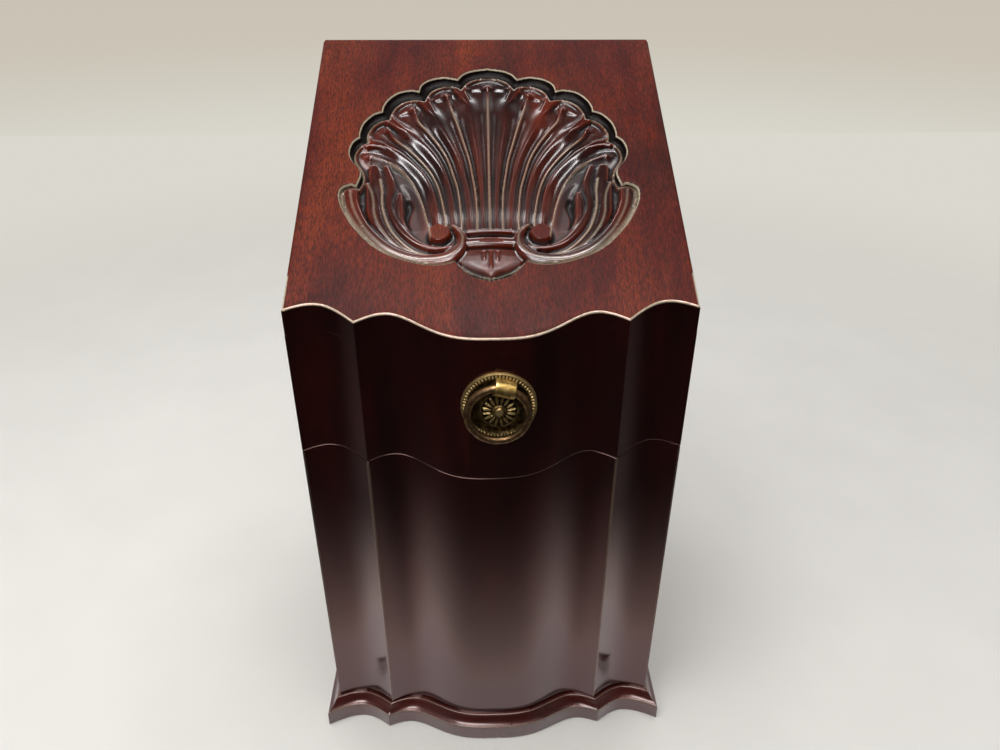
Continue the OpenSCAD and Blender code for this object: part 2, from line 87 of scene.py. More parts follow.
def add(tree: Tree, kind: str, inputs: dict[int | str, Any], out: int | str = 0,
        stops: Sequence[tuple[float, float | str]] = (), **settings: Any) -> Socket:
    """Adds a node with its settings and links.

    Args:
        tree: the node tree.
        kind: the node's type, without its ShaderNode prefix.
        inputs: by input name or number, a value or an output socket to link.
        out: the output to give back.
        stops: a ramp's places from 0 to 1, each with a grey value or an sRGB hex colour.
        settings: the node's own properties.

    Returns:
        That output.
    """
    node = tree.nodes.new("ShaderNode" + kind)
    for name, value in settings.items():
        setattr(node, name, value)
    for name, value in inputs.items():
        if isinstance(value, Socket):
            tree.links.new(value, node.inputs[name])
        else:
            node.inputs[name].default_value = value
    for number, (place, value) in enumerate(stops):
        elements = node.color_ramp.elements
        if number >= len(elements):
            elements.new(1.0)
        elements[number].position = place
        elements[number].color = linear(value) if isinstance(value, str) else (*[value] * 3, 1)
    return node.outputs[out]


def start(name: str) -> tuple[Material, Tree, Socket]:
    """Starts a material.

    Args:
        name: its name.

    Returns:
        The material, its tree and the place of each point of what wears it.
    """
    material = bpy.data.materials.new(name)
    material.use_nodes = True
    return material, material.node_tree, add(material.node_tree, "TexCoord", {}, "Object")


def finish(tree: Tree, colour: Socket, layers: Sequence[tuple[dict, Any, Any]],
           relief: Sequence[tuple[Socket, float]], **sockets: Any) -> None:
    """Joins a finish to its shader.

    Args:
        tree: the node tree.
        colour: the ground colour.
        layers: what lies on it: OVER or TIMES, the share from 0 to 1, and the colour.
        relief: height sockets from 0 to 1, each with its full height in millimetres.
        sockets: the shader's other inputs, by name with _ for a space, as values or sockets.
    """
    for way, share, above in layers:
        colour = add(tree, "Mix", {0: share, 6: colour, 7: above}, 2, **way)
    normal = {}
    for height, depth in relief:
        normal = {"Normal": add(tree, "Bump", {"Height": height, "Distance": depth * MM,
                                               "Strength": 1.0, **normal})}
    shader = tree.nodes["Principled BSDF"]
    for name, value in {"Base_Color": colour, **normal, **sockets}.items():
        socket = shader.inputs[name.replace("_", " ")]
        if isinstance(value, Socket):
            tree.links.new(value, socket)
        else:
            socket.default_value = value


@dataclass(frozen=True)
class PolishedMahogany:
    """Cuban mahogany under old French polish.

    Shellac rubbed on in many thin coats: a deep red ground with darker stripes, short dark pores
    along the grain, and a soft skin that mirrors lamps a little blurred. Its arrises are painted
    pale, partly wood worn through and partly a painted highlight. Its hollows are painted dark,
    partly dark wax and partly painted shade, and raised carving is painted warmer, a painted
    highlight.
    """

    name: str
    board: Board
    deep: str
    ground: str
    warm: str
    patch: float
    roughness: float
    specular: float = 0.5
    coat: float = 0.0
    pore_depth: float = 0.02
    figure_mm: float = 26.0
    stripe_mm: float = 2.2
    pore_mm: float = 0.42
    fleck_mm: float = 0.52
    fleck: float = 0.25
    tint: str = "ffffff"
    # The attribute that tells how far a point is from the carving's arris is this much more, so
    # that a piece without it has no such line
    gap_zero: float = 10.0

    def make(self) -> Material:
        """Builds the material.

        Returns:
            The material.
        """
        material, tree, place = start(self.name)
        turned = add(tree, "Mapping", {"Vector": place, "Rotation": self.board.value})
        # Fibres run along the turned Y, and a part under 1 draws a pattern out along it: part,
        # size in millimetres, detail, roughness and bend of each
        figure, stripes, pores, flecks, clouds = (
            add(tree, "TexNoise", {
                "Vector": add(tree, "Mapping", {"Vector": turned, "Scale": (1.0, part, 1.0)}),
                "Scale": 1 / (size * MM), "Detail": detail, "Roughness": rough,
                "Distortion": bend})
            for part, size, detail, rough, bend in (
                (0.22, self.figure_mm, 3.0, 0.55, 0.4), (0.04, self.stripe_mm, 4.0, 0.6, 0.0),
                (0.12, self.pore_mm, 1.0, 0.5, 0.0), (0.16, self.fleck_mm, 2.0, 0.6, 0.0),
                (1.0, 60.0, 2.0, 0.5, 0.0)))
        # Rubbing, dull marks and ripples in the polish: size in millimetres, detail, roughness
        rub, marks, ripple = (
            add(tree, "TexNoise", {"Vector": place, "Scale": 1 / (size * MM), "Detail": detail,
                                   "Roughness": rough})
            for size, detail, rough in ((1.6, 3.0, 0.5), (9.0, 6.0, 0.65), (14.0, 2.0, 0.5)))
        wear, hollow, raised_highlight, gap, matte = (
            add(tree, "Attribute", {}, "Fac", attribute_name=name)
            for name in ("wear", "hollow", "raised_highlight", "gap", "matte"))
        pore = add(tree, "ValToRGB", {"Fac": pores}, stops=[(0.34, 0.0), (0.48, 1.0)])
        pit = add(tree, "Math", {0: add(tree, "Math", {0: 1.0, 1: pore}, operation="SUBTRACT"),
                                 1: 0.55}, operation="MULTIPLY")
        # A pale line along the carving's outer arris: worn wood and a painted highlight.
        aside = add(tree, "Math", {0: gap, 1: self.gap_zero}, operation="SUBTRACT")
        aside = add(tree, "Math", {0: aside}, operation="ABSOLUTE")
        line = add(tree, "ValToRGB", {"Fac": aside}, stops=[(0.16, 1.0), (0.36, 0.0)])
        wear = add(tree, "Math", {0: wear, 1: line}, operation="MAXIMUM")
        uneven = add(tree, "ValToRGB", {"Fac": rub}, stops=[(0.3, 0.7), (0.6, 1.0)])
        rubbed = add(tree, "Math", {0: wear, 1: uneven}, operation="MULTIPLY")
        rough = add(tree, "MapRange", {"Value": marks, "From Min": 0.3, "From Max": 0.7,
                                       "To Min": 0.85 * self.roughness,
                                       "To Max": 1.2 * self.roughness})
        # Wax dulls the hollows, and a stippled ground is duller still
        for share, more in ((hollow, 0.12), (matte, 0.4)):
            rough = add(tree, "Math", {0: share, 1: more, 2: rough}, operation="MULTIPLY_ADD")
        ground = add(tree, "ValToRGB", {"Fac": figure},
                     stops=[(0.3, self.deep), (0.5, self.ground), (0.72, self.warm)])
        warmth = add(tree, "ValToRGB", {"Fac": clouds}, stops=[(0.46, 0.0), (0.7, self.patch)])
        streak = add(tree, "ValToRGB", {"Fac": stripes},
                     stops=[(0.32, 0.55), (0.55, 1.0), (0.75, 1.22)])
        speck = add(tree, "ValToRGB", {"Fac": flecks}, stops=[(0.38, 0.45), (0.62, 1.3)])
        # The dark colour laid on the hollows is dark wax and painted shade.
        warm, dirt, wax_and_shade, bare_and_highlight = (linear(c) for c in (self.warm, "1a0706", "0e0505", "d2c1a6"))
        # The pale colour laid on the arrises is worn wood and a painted highlight.
        finish(tree, ground, [(OVER, warmth, warm), (TIMES, 0.45, streak),
                              # Raised carving gets the warm colour as a painted highlight.
                              (TIMES, self.fleck, speck), (OVER, pit, dirt), (OVER, raised_highlight, warm),
                              (OVER, hollow, wax_and_shade), (OVER, rubbed, bare_and_highlight)],
               [(pore, self.pore_depth), (ripple, 0.02)], Roughness=rough, IOR=1.5,
               Specular_Tint=linear(self.tint), Specular_IOR_Level=self.specular, Coat_IOR=1.6,
               Coat_Weight=self.coat, Coat_Roughness=0.1)
        return material


@dataclass(frozen=True)
class BareWood:
    """Old pine or boxwood, planed and left dry or wiped with oil: pale, with soft growth lines."""

    name: str
    pale: str
    dark: str
    line_mm: float
    roughness: float

    def make(self) -> Material:
        """Builds the material.

        Returns:
            The material.
        """
        material, tree, place = start(self.name)
        along = add(tree, "Mapping", {"Vector": place, "Scale": (0.05, 1.0, 1.0)})
        lines, stain = (add(tree, "TexNoise", {"Vector": vector, "Scale": 1 / (size * MM),
                                               "Detail": 4.0})
                        for vector, size in ((along, self.line_mm), (place, 35)))
        ground = add(tree, "ValToRGB", {"Fac": lines}, stops=[(0.35, self.dark), (0.6, self.pale)])
        stained = add(tree, "ValToRGB", {"Fac": stain}, stops=[(0.45, 0.0), (0.75, 0.5)])
        finish(tree, ground, [(OVER, stained, linear(self.dark))], [(lines, 0.05)],
               Roughness=self.roughness)
        return material


@dataclass(frozen=True)
class WornBaize:
    """Green woollen baize glued to wood: a short felted nap, faded and rubbed thin in places."""

    name: str = "worn_green_baize"
    nap_mm: float = 0.9

    def make(self) -> Material:
        """Builds the material.

        Returns:
            The material.
        """
        material, tree, place = start(self.name)
        nap, faded = (add(tree, "TexNoise", {"Vector": place, "Scale": 1 / (size * MM),
                                             "Detail": detail, "Roughness": rough})
                      for size, detail, rough in ((self.nap_mm, 5.0, 0.7), (40, 4.0, 0.5)))
        ground = add(tree, "ValToRGB", {"Fac": faded},
                     stops=[(0.35, "22402a"), (0.55, "2f5236"), (0.75, "57684a")])
        fibres = add(tree, "ValToRGB", {"Fac": nap}, stops=[(0.3, 0.55), (0.7, 1.25)])
        finish(tree, ground, [(TIMES, 0.6, fibres)], [(nap, 0.25)], Roughness=0.95,
               Sheen_Weight=0.35, Sheen_Roughness=0.5)
        return material


@dataclass(frozen=True)
class AgedBrass:
    """Cast brass gone dark with age: brown-black in the hollows, rubbed to gold on high points."""

    name: str
    dark: str
    body: str
    bright: str
    roughness: float
    rubbed: float = 0.6
    tarnish_mm: float = 3.0

    def make(self) -> Material:
        """Builds the material.

        Returns:
            The material.
        """
        material, tree, place = start(self.name)
        tarnish, fine = (add(tree, "TexNoise", {"Vector": place, "Scale": 1 / (size * MM),
                                                "Detail": detail, "Roughness": rough})
                         for size, detail, rough in ((self.tarnish_mm, 5.0, 0.6), (0.7, 3.0, 0.5)))
        ground = add(tree, "ValToRGB", {"Fac": tarnish},
                     stops=[(0.34, self.dark), (0.52, self.body), (0.74, self.bright)])
        wear, hollow = (add(tree, "Attribute", {}, "Fac", attribute_name=name)
                        for name in ("wear", "hollow"))
        gold = add(tree, "Math", {0: wear, 1: self.rubbed}, operation="MULTIPLY")
        rough = add(tree, "MapRange", {"Value": tarnish, "From Min": 0.3, "From Max": 0.75,
                                       "To Min": self.roughness + 0.14,
                                       "To Max": self.roughness - 0.06})
        finish(tree, ground, [(OVER, gold, linear(self.bright)), (OVER, hollow, linear("0c0b08"))],
               [(fine, 0.03)], Metallic=1.0, Roughness=rough)
        return material


# ---------------------------------------------------------------- modelling helpers


def clear_selection() -> None:
    """Deselects everything, so that an operator acts only on what is picked next."""
    bpy.ops.object.select_all(action="DESELECT")


def pick(piece: Piece) -> None:
    """Makes one object the selected and active one."""
    clear_selection()
    piece.select_set(True)
    bpy.context.view_layer.objects.active = piece


def points_of(piece: Piece) -> Array:
    """Gives a mesh's vertices, one row each, in millimetres."""
    return np.array([v.co for v in piece.data.vertices]) / MM


def place_points(piece: Piece, points: Array) -> None:
    """Moves a mesh's vertices to these rows of X, Y and Z in millimetres."""
    piece.data.vertices.foreach_set("co", (points * MM).astype(np.float32).ravel())
    piece.data.update()


def apply_all(piece: Piece) -> None:
    """Applies every modifier of a piece in order."""
    pick(piece)
    for modifier in list(piece.modifiers):
        bpy.ops.object.modifier_apply(modifier=modifier.name)


def grid(name: str, points: Array) -> Piece:
    """Adds a grid and lays it over rows of points.

    Args:
        name: the piece's name.
        points: an array of rows by columns by 3, in millimetres.

    Returns:
        The new object, at the origin.
    """
    rows, columns = points.shape[:2]
    clear_selection()
    bpy.ops.mesh.primitive_grid_add(x_subdivisions=columns - 1, y_subdivisions=rows - 1, size=1)
    piece = bpy.context.object
    piece.name = piece.data.name = name
    place_points(piece, points.reshape(-1, 3))
    return piece


def edit(piece: Piece, steps: Callable[[], Any]) -> None:
    """Runs operators on the whole of a mesh in edit mode.

    Args:
        piece: the object.
        steps: the operators.
    """
    pick(piece)
    bpy.ops.object.mode_set(mode="EDIT")
    bpy.ops.mesh.select_mode(type="VERT")
    bpy.ops.mesh.select_all(action="SELECT")
    steps()
    bpy.ops.object.mode_set(mode="OBJECT")


def face_out() -> None:
    """Turns the faces of the mesh in edit mode outwards."""
    bpy.ops.mesh.normals_make_consistent(inside=False)


def close_up() -> None:
    """Welds the doubles of the mesh in edit mode, fills its ends and turns its faces outwards."""
    bpy.ops.mesh.remove_doubles(threshold=0.004 * MM)
    bpy.ops.mesh.select_all(action="DESELECT")
    bpy.ops.mesh.select_non_manifold(extend=False)
    bpy.ops.mesh.fill_holes(sides=0)
    bpy.ops.mesh.select_all(action="SELECT")
    face_out()


def smooth(piece: Piece, degrees: float, weighted: bool = False) -> None:
    """Shades a piece smooth across its gentle edges.

    Args:
        piece: the object.
        degrees: edges sharper than this stay crisp.
        weighted: lets the large faces keep flat shading beside a small bevel.
    """
    pick(piece)
    bpy.ops.object.shade_smooth_by_angle(angle=math.radians(degrees))
    if weighted:
        piece.modifiers.new("flats", "WEIGHTED_NORMAL").keep_sharp = True
        apply_all(piece)


def dress(piece: Piece, body: str, slot: str, node: str, *materials: Material) -> None:
    """Gives a finished piece its materials, its body and the CAD node that it stands for.

    Args:
        piece: the object.
        body: the CAD body that it rides on.
        slot: the record's material slot; not used.
        node: the CAD node that it replaces.
        materials: its finishes, the main one first.
    """
    for material in materials:
        piece.data.materials.append(material)
    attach(piece, body)
    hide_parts(node)
    log.info("%s: %d faces, on %s", piece.name, len(piece.data.polygons), body)


def paint(piece: Piece, **layers: Array) -> None:
    """Stores numbers for each vertex, which a material reads.

    Args:
        piece: the object.
        layers: by the attribute's name, one number for each vertex.
    """
    for name, values in layers.items():
        layer = piece.data.attributes.new(name, "FLOAT", "POINT")
        layer.data.foreach_set("value", values.astype(np.float32).ravel())


def fade(x: Array, low: float, high: float) -> Array:
    """Goes smoothly from 0 at low to 1 at high."""
    t = np.clip((x - low) / (high - low), 0, 1)
    return t * t * (3 - 2 * t)


def ridge(distance: Array, width: float) -> Array:
    """Falls from 1 on a line to 0 about twice the width away from it."""
    return np.exp(-(distance / width) ** 2)


def curve_through(points: Points, steps: int = 6) -> Array:
    """Draws a smooth line through points.

    Args:
        points: the points.
        steps: pieces between two points.

    Returns:
        The line's points.
    """
    p = np.array(points, float)
    p = np.vstack([2 * p[0] - p[1], p, 2 * p[-1] - p[-2]])
    out = []
    for a, b, c, d in zip(p, p[1:], p[2:], p[3:]):
        for t in np.arange(steps) / steps:
            out.append(0.5 * (2 * b + (c - a) * t + (2 * a - 5 * b + 4 * c - d) * t * t
                              + (3 * b - a - 3 * c + d) * t ** 3))
    return np.array([*out, p[-2]])


def nearest(px: Array, py: Array, line: Array) -> tuple[Array, Array]:
    """Measures from many points to a line.

    Args:
        px: the points' X.
        py: the points' Y.
        line: the line's points.

    Returns:
        The distance to the line, and how far along the line the nearest place is.
    """
    best, along, begun = np.full(px.shape, 1e9), np.zeros(px.shape), 0.0
    for (ax, ay), (bx, by) in zip(line, line[1:]):
        dx, dy = bx - ax, by - ay
        length = math.hypot(dx, dy)
        if length < 1e-9:
            continue
        t = np.clip(((px - ax) * dx + (py - ay) * dy) / length ** 2, 0, 1)
        d = np.hypot(px - ax - t * dx, py - ay - t * dy)
        closer = d < best
        best[closer] = d[closer]
        along[closer] = (begun + t * length)[closer]
        begun += length
    return best, along


def beside(line: Array, offset: float) -> Array:
    """Shifts a line to the right of its own direction by an offset."""
    way = np.gradient(line, axis=0)
    way /= np.hypot(way[:, 0], way[:, 1])[:, None]
    return line + offset * np.column_stack([way[:, 1], -way[:, 0]])


def inside(px: Array, py: Array, loop: Array) -> Array:
    """Finds which points lie inside a closed outline.

    Args:
        px: the points' X.
        py: the points' Y.
        loop: the outline's points.

    Returns:
        True for each point inside.
    """
    found = np.zeros(px.shape, bool)
    for (ax, ay), (bx, by) in zip(loop, np.roll(loop, -1, axis=0)):
        if ay != by:
            crosses = (ay > py) != (by > py)
            found ^= crosses & (px < (bx - ax) * (py - ay) / (by - ay) + ax)
    return found


# ---------------------------------------------------------------- the box's outline


@dataclass(frozen=True)
class FrontLine:
    """The serpentine line of the front in plan: a bulge, a hollow, an arris and a hollow."""

    half: float = 102.5
    bulge: float = 16.0
    hollow_x: float = 52.0
    hollow: float = 2.1
    arris_x: float = 67.0
    arris: float = 6.5
    outer_x: float = 88.0
    outer: float = -3.5
    end: float = 0.0
    bulge_shape: float = 1.6

    @property
    def stops(self) -> tuple[float, ...]:
        """Where each stretch ends, as distances from the middle."""
        return (0, self.hollow_x, self.arris_x, self.outer_x, self.half)

    def reach(self, x: Array) -> Array:
        """Works out how far the front stands forward.

        Args:
            x: distances from the middle, in millimetres.

        Returns:
            The forward reach at each.
        """
        a = np.abs(np.asarray(x, float))
        u = [np.clip((a - low) / (high - low), 0, 1)
             for low, high in zip(self.stops, self.stops[1:])]
        quarter = math.pi / 2
        bulge = self.hollow + (self.bulge - self.hollow) * (
            1 + np.cos(math.pi * u[0] ** self.bulge_shape)) / 2
        rise = self.hollow + (self.arris - self.hollow) * (1 - np.cos(quarter * u[1]))
        fall = self.outer + (self.arris - self.outer) * (1 - np.sin(quarter * u[2]))
        last = self.outer + (self.end - self.outer) * (1 - np.cos(quarter * u[3]))
        return np.where(a < self.hollow_x, bulge,
                        np.where(a < self.arris_x, rise, np.where(a < self.outer_x, fall, last)))


@dataclass(frozen=True)
class BoxSizes:
    """The box's main sizes in millimetres, as the frame has them."""

    half_w: float = 102.5
    depth: float = 191.0
    front_h: float = 302.0
    lid_wall_h: float = 83.5
    gap: float = 0.3
    wall: float = 9.0
    front_t: float = 10.0
    back_t: float = 10.0
    top_t: float = 12.0
    baize_t: float = 1.2
    plinth_out: float = 7.2
    plinth_h: float = 17.0
    front_y: float = -84.934
    corner_r: float = 4.0

    @property
    def inner_x(self) -> float:
        """The inside of the side walls."""
        return self.half_w - self.wall

    @property
    def back_y(self) -> float:
        """The back face."""
        return self.front_y + self.depth

    @property
    def rim_h(self) -> float:
        """The rim's height above the front corners' line."""
        return self.front_h - self.lid_wall_h - self.gap

    @property
    def top_drop(self) -> float:
        """The top board's thickness measured upright."""
        return self.top_t / math.cos(SLOPE)

    def slope_z(self, height: float, y: Array) -> Array:
        """The height at y of the sloped plane that has this height at the front corners."""
        return height + (np.asarray(y) - self.front_y) * math.tan(SLOPE)


LINE = FrontLine()
BOX = BoxSizes()


def front_points(low: float, high: float, step: float = 1.3) -> Array:
    """Walks the front line between two distances from the middle.

    Args:
        low: the first X.
        high: the last X.
        step: the spacing aimed at.

    Returns:
        Rows of X and Y in millimetres, with points on the arrises.
    """
    turns = [side * x for side in (-1, 1) for x in LINE.stops[1:4] if low < side * x < high]
    stops = sorted({low, high, *turns})
    xs = [low]
    for a, b in zip(stops, stops[1:]):
        xs.extend(np.linspace(a, b, max(2, round((b - a) / step)) + 1)[1:])
    xs = np.array(xs)
    return np.column_stack([xs, BOX.front_y - LINE.reach(xs)])


def prism(name: str, plan: Array, low: Surface, high: Surface, bevel: float,
          crisp: Surface) -> Piece:
    """Raises a board from its plan between two surfaces.

    Args:
        name: the piece's name.
        plan: rows of X and Y in millimetres.
        low: gives the underside's height at each Y.
        high: gives the top's height at each Y.
        bevel: the width of its worn arrises in millimetres; upright ones have half of it.
        crisp: picks, from their middles, the edges that meet another board and stay sharp.

    Returns:
        The board.
    """
    sharp_angle, upright = math.radians(38), 30
    clear_selection()
    bpy.ops.mesh.primitive_circle_add(vertices=len(plan), fill_type="NGON")
    piece = bpy.context.object
    piece.name = piece.data.name = name
    place_points(piece, np.column_stack([plan, low(plan[:, 1])]))
    edit(piece, bpy.ops.mesh.extrude_region_move)
    points = points_of(piece)
    top = np.array([v.select for v in piece.data.vertices])
    points[top, 2] = high(points[top, 1])
    place_points(piece, points)
    edit(piece, face_out)
    normals: dict[tuple[int, int], list[Vector]] = {}
    for face in piece.data.polygons:
        for key in face.edge_keys:
            normals.setdefault(key, []).append(face.normal.copy())
    keys = [tuple(sorted(edge.vertices)) for edge in piece.data.edges]
    sharp = np.array([normals[key][0].angle(normals[key][1]) > sharp_angle for key in keys])
    middles = np.array([(points[a] + points[b]) / 2 for a, b in keys])
    level = np.array([abs(points[a, 2] - points[b, 2]) < upright for a, b in keys])
    share = (sharp & ~crisp(middles)) * np.where(level, 1.0, 0.5)
    weights = piece.data.attributes.new("bevel_weight_edge", "FLOAT", "EDGE")
    weights.data.foreach_set("value", share.astype(np.float32))
    modifier = piece.modifiers.new("arris", "BEVEL")
    modifier.width, modifier.segments, modifier.limit_method = bevel * MM, 3, "WEIGHT"
    apply_all(piece)
    smooth(piece, 50, weighted=True)
    return piece


# ---------------------------------------------------------------- the carved shell


@dataclass(frozen=True)
class Strand:
    """One carved strand: its middle line, half widths and crown heights, in millimetres.

    Its worn share tells how pale its arris is painted, for wood rubbed by dusters and for a
    painted highlight.
    """

    line: Points
    half_widths: tuple[float, ...]
    crown: tuple[float, ...]
    rise: float
    sharp: float = 0.5
    worn: float = 0.0


@dataclass(frozen=True)
class Carved:
    """What the carving gives at each point: its height and four marks that finishes read."""

    height: Array
    wear: Array
    gap: Array
    border: Array
    ground: Array


@dataclass(frozen=True)
class ShellCarving:
    """The carved shell in the lid's top, as heights over the lid's face.

    Every line is given for the right half, as distance from the middle and distance up the slope
    from the front corners, in millimetres; the left half mirrors it.
    """

    edge_depth: float = 3.6
    rim_level: float = -0.9
    crest: float = 0.45
    rim_w: float = 1.6
    # The part of the border's width at which its hollow turns up to the rim
    cove_end: float = 0.78
    # The ground's level round the collar
    floor: float = -4.2
    # The height given where a strand or the collar isn't
    away: float = -99.0
    # The last rib's flute runs out over this distance
    past_last_rib: float = 12.0
    # The outer arris of the sunk border, from the top of the shell to its tail
    outer: tuple[Points, ...] = (
        ((0, 184.4), (9, 182.6), (14.6, 179.4), (18, 174.6)),
        ((18, 174.6), (26, 176.3), (34, 174.4), (39.5, 169.6), (41, 163.5)),
        ((41, 163.5), (46, 164.4), (53.6, 162), (59, 156), (61.4, 150), (61.7, 145.8)),
        ((61.7, 145.8), (67, 143), (71.8, 136.2), (73.6, 129), (73.6, 124)),
        ((73.6, 124), (77.2, 119.6), (78.6, 112), (76.4, 105), (72.4, 99.6), (70.9, 95),
         (71.6, 90), (72.8, 85.6)),
        ((72.8, 85.6), (75.7, 86.4), (79.6, 84.8), (81.6, 81), (80.8, 74), (77.6, 65.8),
         (73.2, 57.4), (67.8, 50), (61.6, 42.8), (54.6, 37.2), (46.4, 33), (37.6, 30),
         (29, 28.8), (22.6, 29.4), (17.9, 31.4)),
        ((17.9, 31.4), (14.2, 25.6), (8.6, 20.6), (0, 18)))
    # The rim inside the border
    inner: tuple[Points, ...] = (
        ((0, 176.7), (7, 175.6), (12.5, 172), (15.9, 165.3)),
        ((15.9, 165.3), (18.2, 168), (23.8, 169.2), (29.8, 167.3), (34.6, 163), (37.2, 155.2)),
        ((37.2, 155.2), (42.5, 156.6), (48.5, 155.3), (53.6, 151), (56.5, 144.5),
         (57, 139.4)),
        ((57, 139.4), (61.6, 138.4), (66, 134.8), (68.9, 128.7), (69, 123.4), (68, 120)),
        ((68, 120), (72, 117.6), (75, 111.6), (74.4, 105), (71, 98.8), (69, 93), (69.4, 88),
         (71, 83.6)),
        ((71, 83.6), (74, 84.4), (78, 83), (80.2, 79.6), (79.4, 73.4), (76.6, 65.4),
         (72.6, 57.8), (67.8, 51), (62.2, 44.2), (55.6, 38.6), (47.6, 34.4), (38.6, 31.4),
         (29.6, 30.2), (23.4, 30.8), (18.6, 32.6)),
        ((18.6, 32.6), (15.2, 29.4), (10.4, 25.6), (5.6, 23.2), (0, 21.6)))
    # From the middle outwards: the arris of a lobe, then the fillet between it and the next
    ribs: tuple[Points, ...] = (
        ((0, 168), (0, 55)),
        ((16.4, 165.4), (13.8, 159.5), (11.6, 154), (10.4, 146.6), (9, 132.3), (7.2, 118),
         (6.1, 107), (4.9, 95), (4.2, 80), (3.6, 66.6), (3.4, 55)),
        ((24.3, 161), (22.3, 153), (21, 147.5), (17.5, 135.5), (14, 122), (11, 110),
         (9.3, 98.7), (7.7, 86), (6.9, 70), (6.8, 55)),
        ((37.2, 155.4), (33.4, 148), (29, 139.4), (24.5, 128.7), (21, 121), (18.5, 114.4),
         (16.3, 107.3), (14.5, 98.7), (12.7, 88), (11.7, 75), (11.1, 66), (10.9, 55)),
        ((43.2, 148.4), (41.6, 142), (40, 137.5), (34.3, 129.4), (28.2, 120), (23.5, 110.5),
         (20, 98.7), (17.5, 88), (16.1, 75), (15.3, 62), (15, 55)),
        ((57.2, 139.6), (51, 134), (44.8, 128.4), (39.4, 122.9), (34.3, 117), (30, 110.5),
         (26.3, 103.5), (23.8, 95), (21.8, 85), (20.6, 75), (19.6, 65), (19.2, 55)),
        ((57, 131), (54.6, 126), (51.5, 122), (45.7, 115.9), (39, 108.5), (33, 100.2),
         (29.1, 91.5), (26.8, 82.7), (25, 72.6), (23.8, 62), (23.4, 55)),
        ((68.2, 120.2), (61, 119), (54.5, 115.5), (48, 110.3), (41.5, 104), (36.5, 98),
         (32.7, 90), (30.5, 81), (29.3, 72), (28.4, 64), (28, 55)),
        ((66, 109.5), (62, 108.6), (57.5, 106.5), (49.5, 99.5), (43, 91.5), (38.7, 82.3),
         (36, 73.4), (34, 64), (32.5, 57), (31.4, 48)))
    strands: tuple[Strand, ...] = (
        Strand(((60, 97), (58.6, 84), (57.4, 68), (51.4, 54), (42, 43.6), (33, 39.4)),
               (6, 9.5, 9, 6.5, 4, 2), (-2.2, -2.2, -2.3, -2.5, -2.7, -3), 2.4, 0.7),
        Strand(((66.8, 88), (63.9, 80.9), (62.5, 73.7), (61.8, 66.6), (59.6, 59.4), (56.1, 53),
                (51.4, 46.6), (45.7, 41.6), (38.6, 38), (31.4, 36.9)),
               (1.6, 3.4, 4.2, 4, 3.6, 3.1, 2.6, 2.1, 1.6, 1.2),
               (-1.4, -1.2, -1.2, -1.3, -1.4, -1.6, -1.8, -1.9, -2, -2.2), 1.7, worn=0.35),
        Strand(((63.9, 100.1), (62.9, 93.7), (61.4, 86.6), (59.3, 79.4), (57.9, 72.3)),
               (3.2, 3.8, 3.6, 2.6, 1), (-0.8, -0.8, -1.0, -1.3, -1.8), 1.5),
        Strand(((60, 90.9), (58.4, 82.3), (58, 75.1), (56.8, 66.6), (52.9, 54.8), (46.8, 45.9),
                (40, 39.8), (32.9, 37.1)),
               (0.7, 0.9, 1.1, 1.2, 1.2, 1.1, 0.9, 0.7),
               (-0.9, -0.8, -0.8, -0.9, -1.0, -1.2, -1.4, -1.8), 1.2, worn=0.6),
        Strand(((57.6, 101), (54.6, 90.9), (53.9, 83.7), (54.6, 76.6), (53.6, 68), (50, 59.4),
                (45, 51.6), (38.6, 45.1), (31.4, 41.6), (24.3, 41.2), (20, 43)),
               (2.2, 2.8, 2.6, 2.4, 2.6, 2.9, 2.9, 2.6, 2.1, 1.6, 1.2),
               (-1.4, -1.2, -1.3, -1.4, -1.5, -1.4, -1.3, -1.2, -1, -1, -1.6), 2.0),
        Strand(((48.9, 80.9), (49.3, 75.9), (48.9, 69.4), (47.9, 63), (45, 55.9), (40, 49.4),
                (34.3, 45.1)),
               (2, 2.9, 2.9, 2.5, 2.3, 2, 1), (-2.2, -1.7, -1.9, -2.2, -2.6, -3, -3.4), 2.4),
        Strand(((75.4, 81.8), (74.6, 76.0), (72.9, 69.4), (70, 62.3), (66.1, 55.1), (60.7, 48),
                (54.3, 41.6), (47.1, 36.9), (38.6, 34), (30, 33.6), (22.9, 35.1), (17.9, 38.7),
                (15, 43.7), (14.6, 48.7), (16.1, 52.3), (18.6, 55), (22.1, 56.7), (26, 57.2)),
               (4.4, 4.0, 4.2, 4.2, 4.2, 4.1, 4.1, 4.2, 4.3, 4.5, 4.5, 4.2, 3.6, 3.2, 2.8, 2.2,
                1.6, 1),
               (-0.2, -0.5, -0.7, -0.7, -0.6, -0.6, -0.6, -0.6, -0.6, -0.5, -0.5, -0.4, -0.4, -0.4,
                -0.4, -0.4, -0.5, -0.6), 3.2, worn=0.3))
    pocket: Points = ((44.3, 78.7), (43.4, 75.1), (44.9, 69.4), (45.5, 63.7), (44.3, 58))
    eye: tuple[float, float, float] = (26.8, 51.2, 6.1)

    def carve(self, x: Array, v: Array) -> Carved:
        """Works out the whole carving.

        Args:
            x: signed distances from the middle.
            v: distances up the slope.

        Returns:
            The height over the lid's face and the marks at each point.
        """
        x = np.abs(x)
        outer, inner = (np.vstack([curve_through(part) for part in parts])
                        for parts in (self.outer, self.inner))
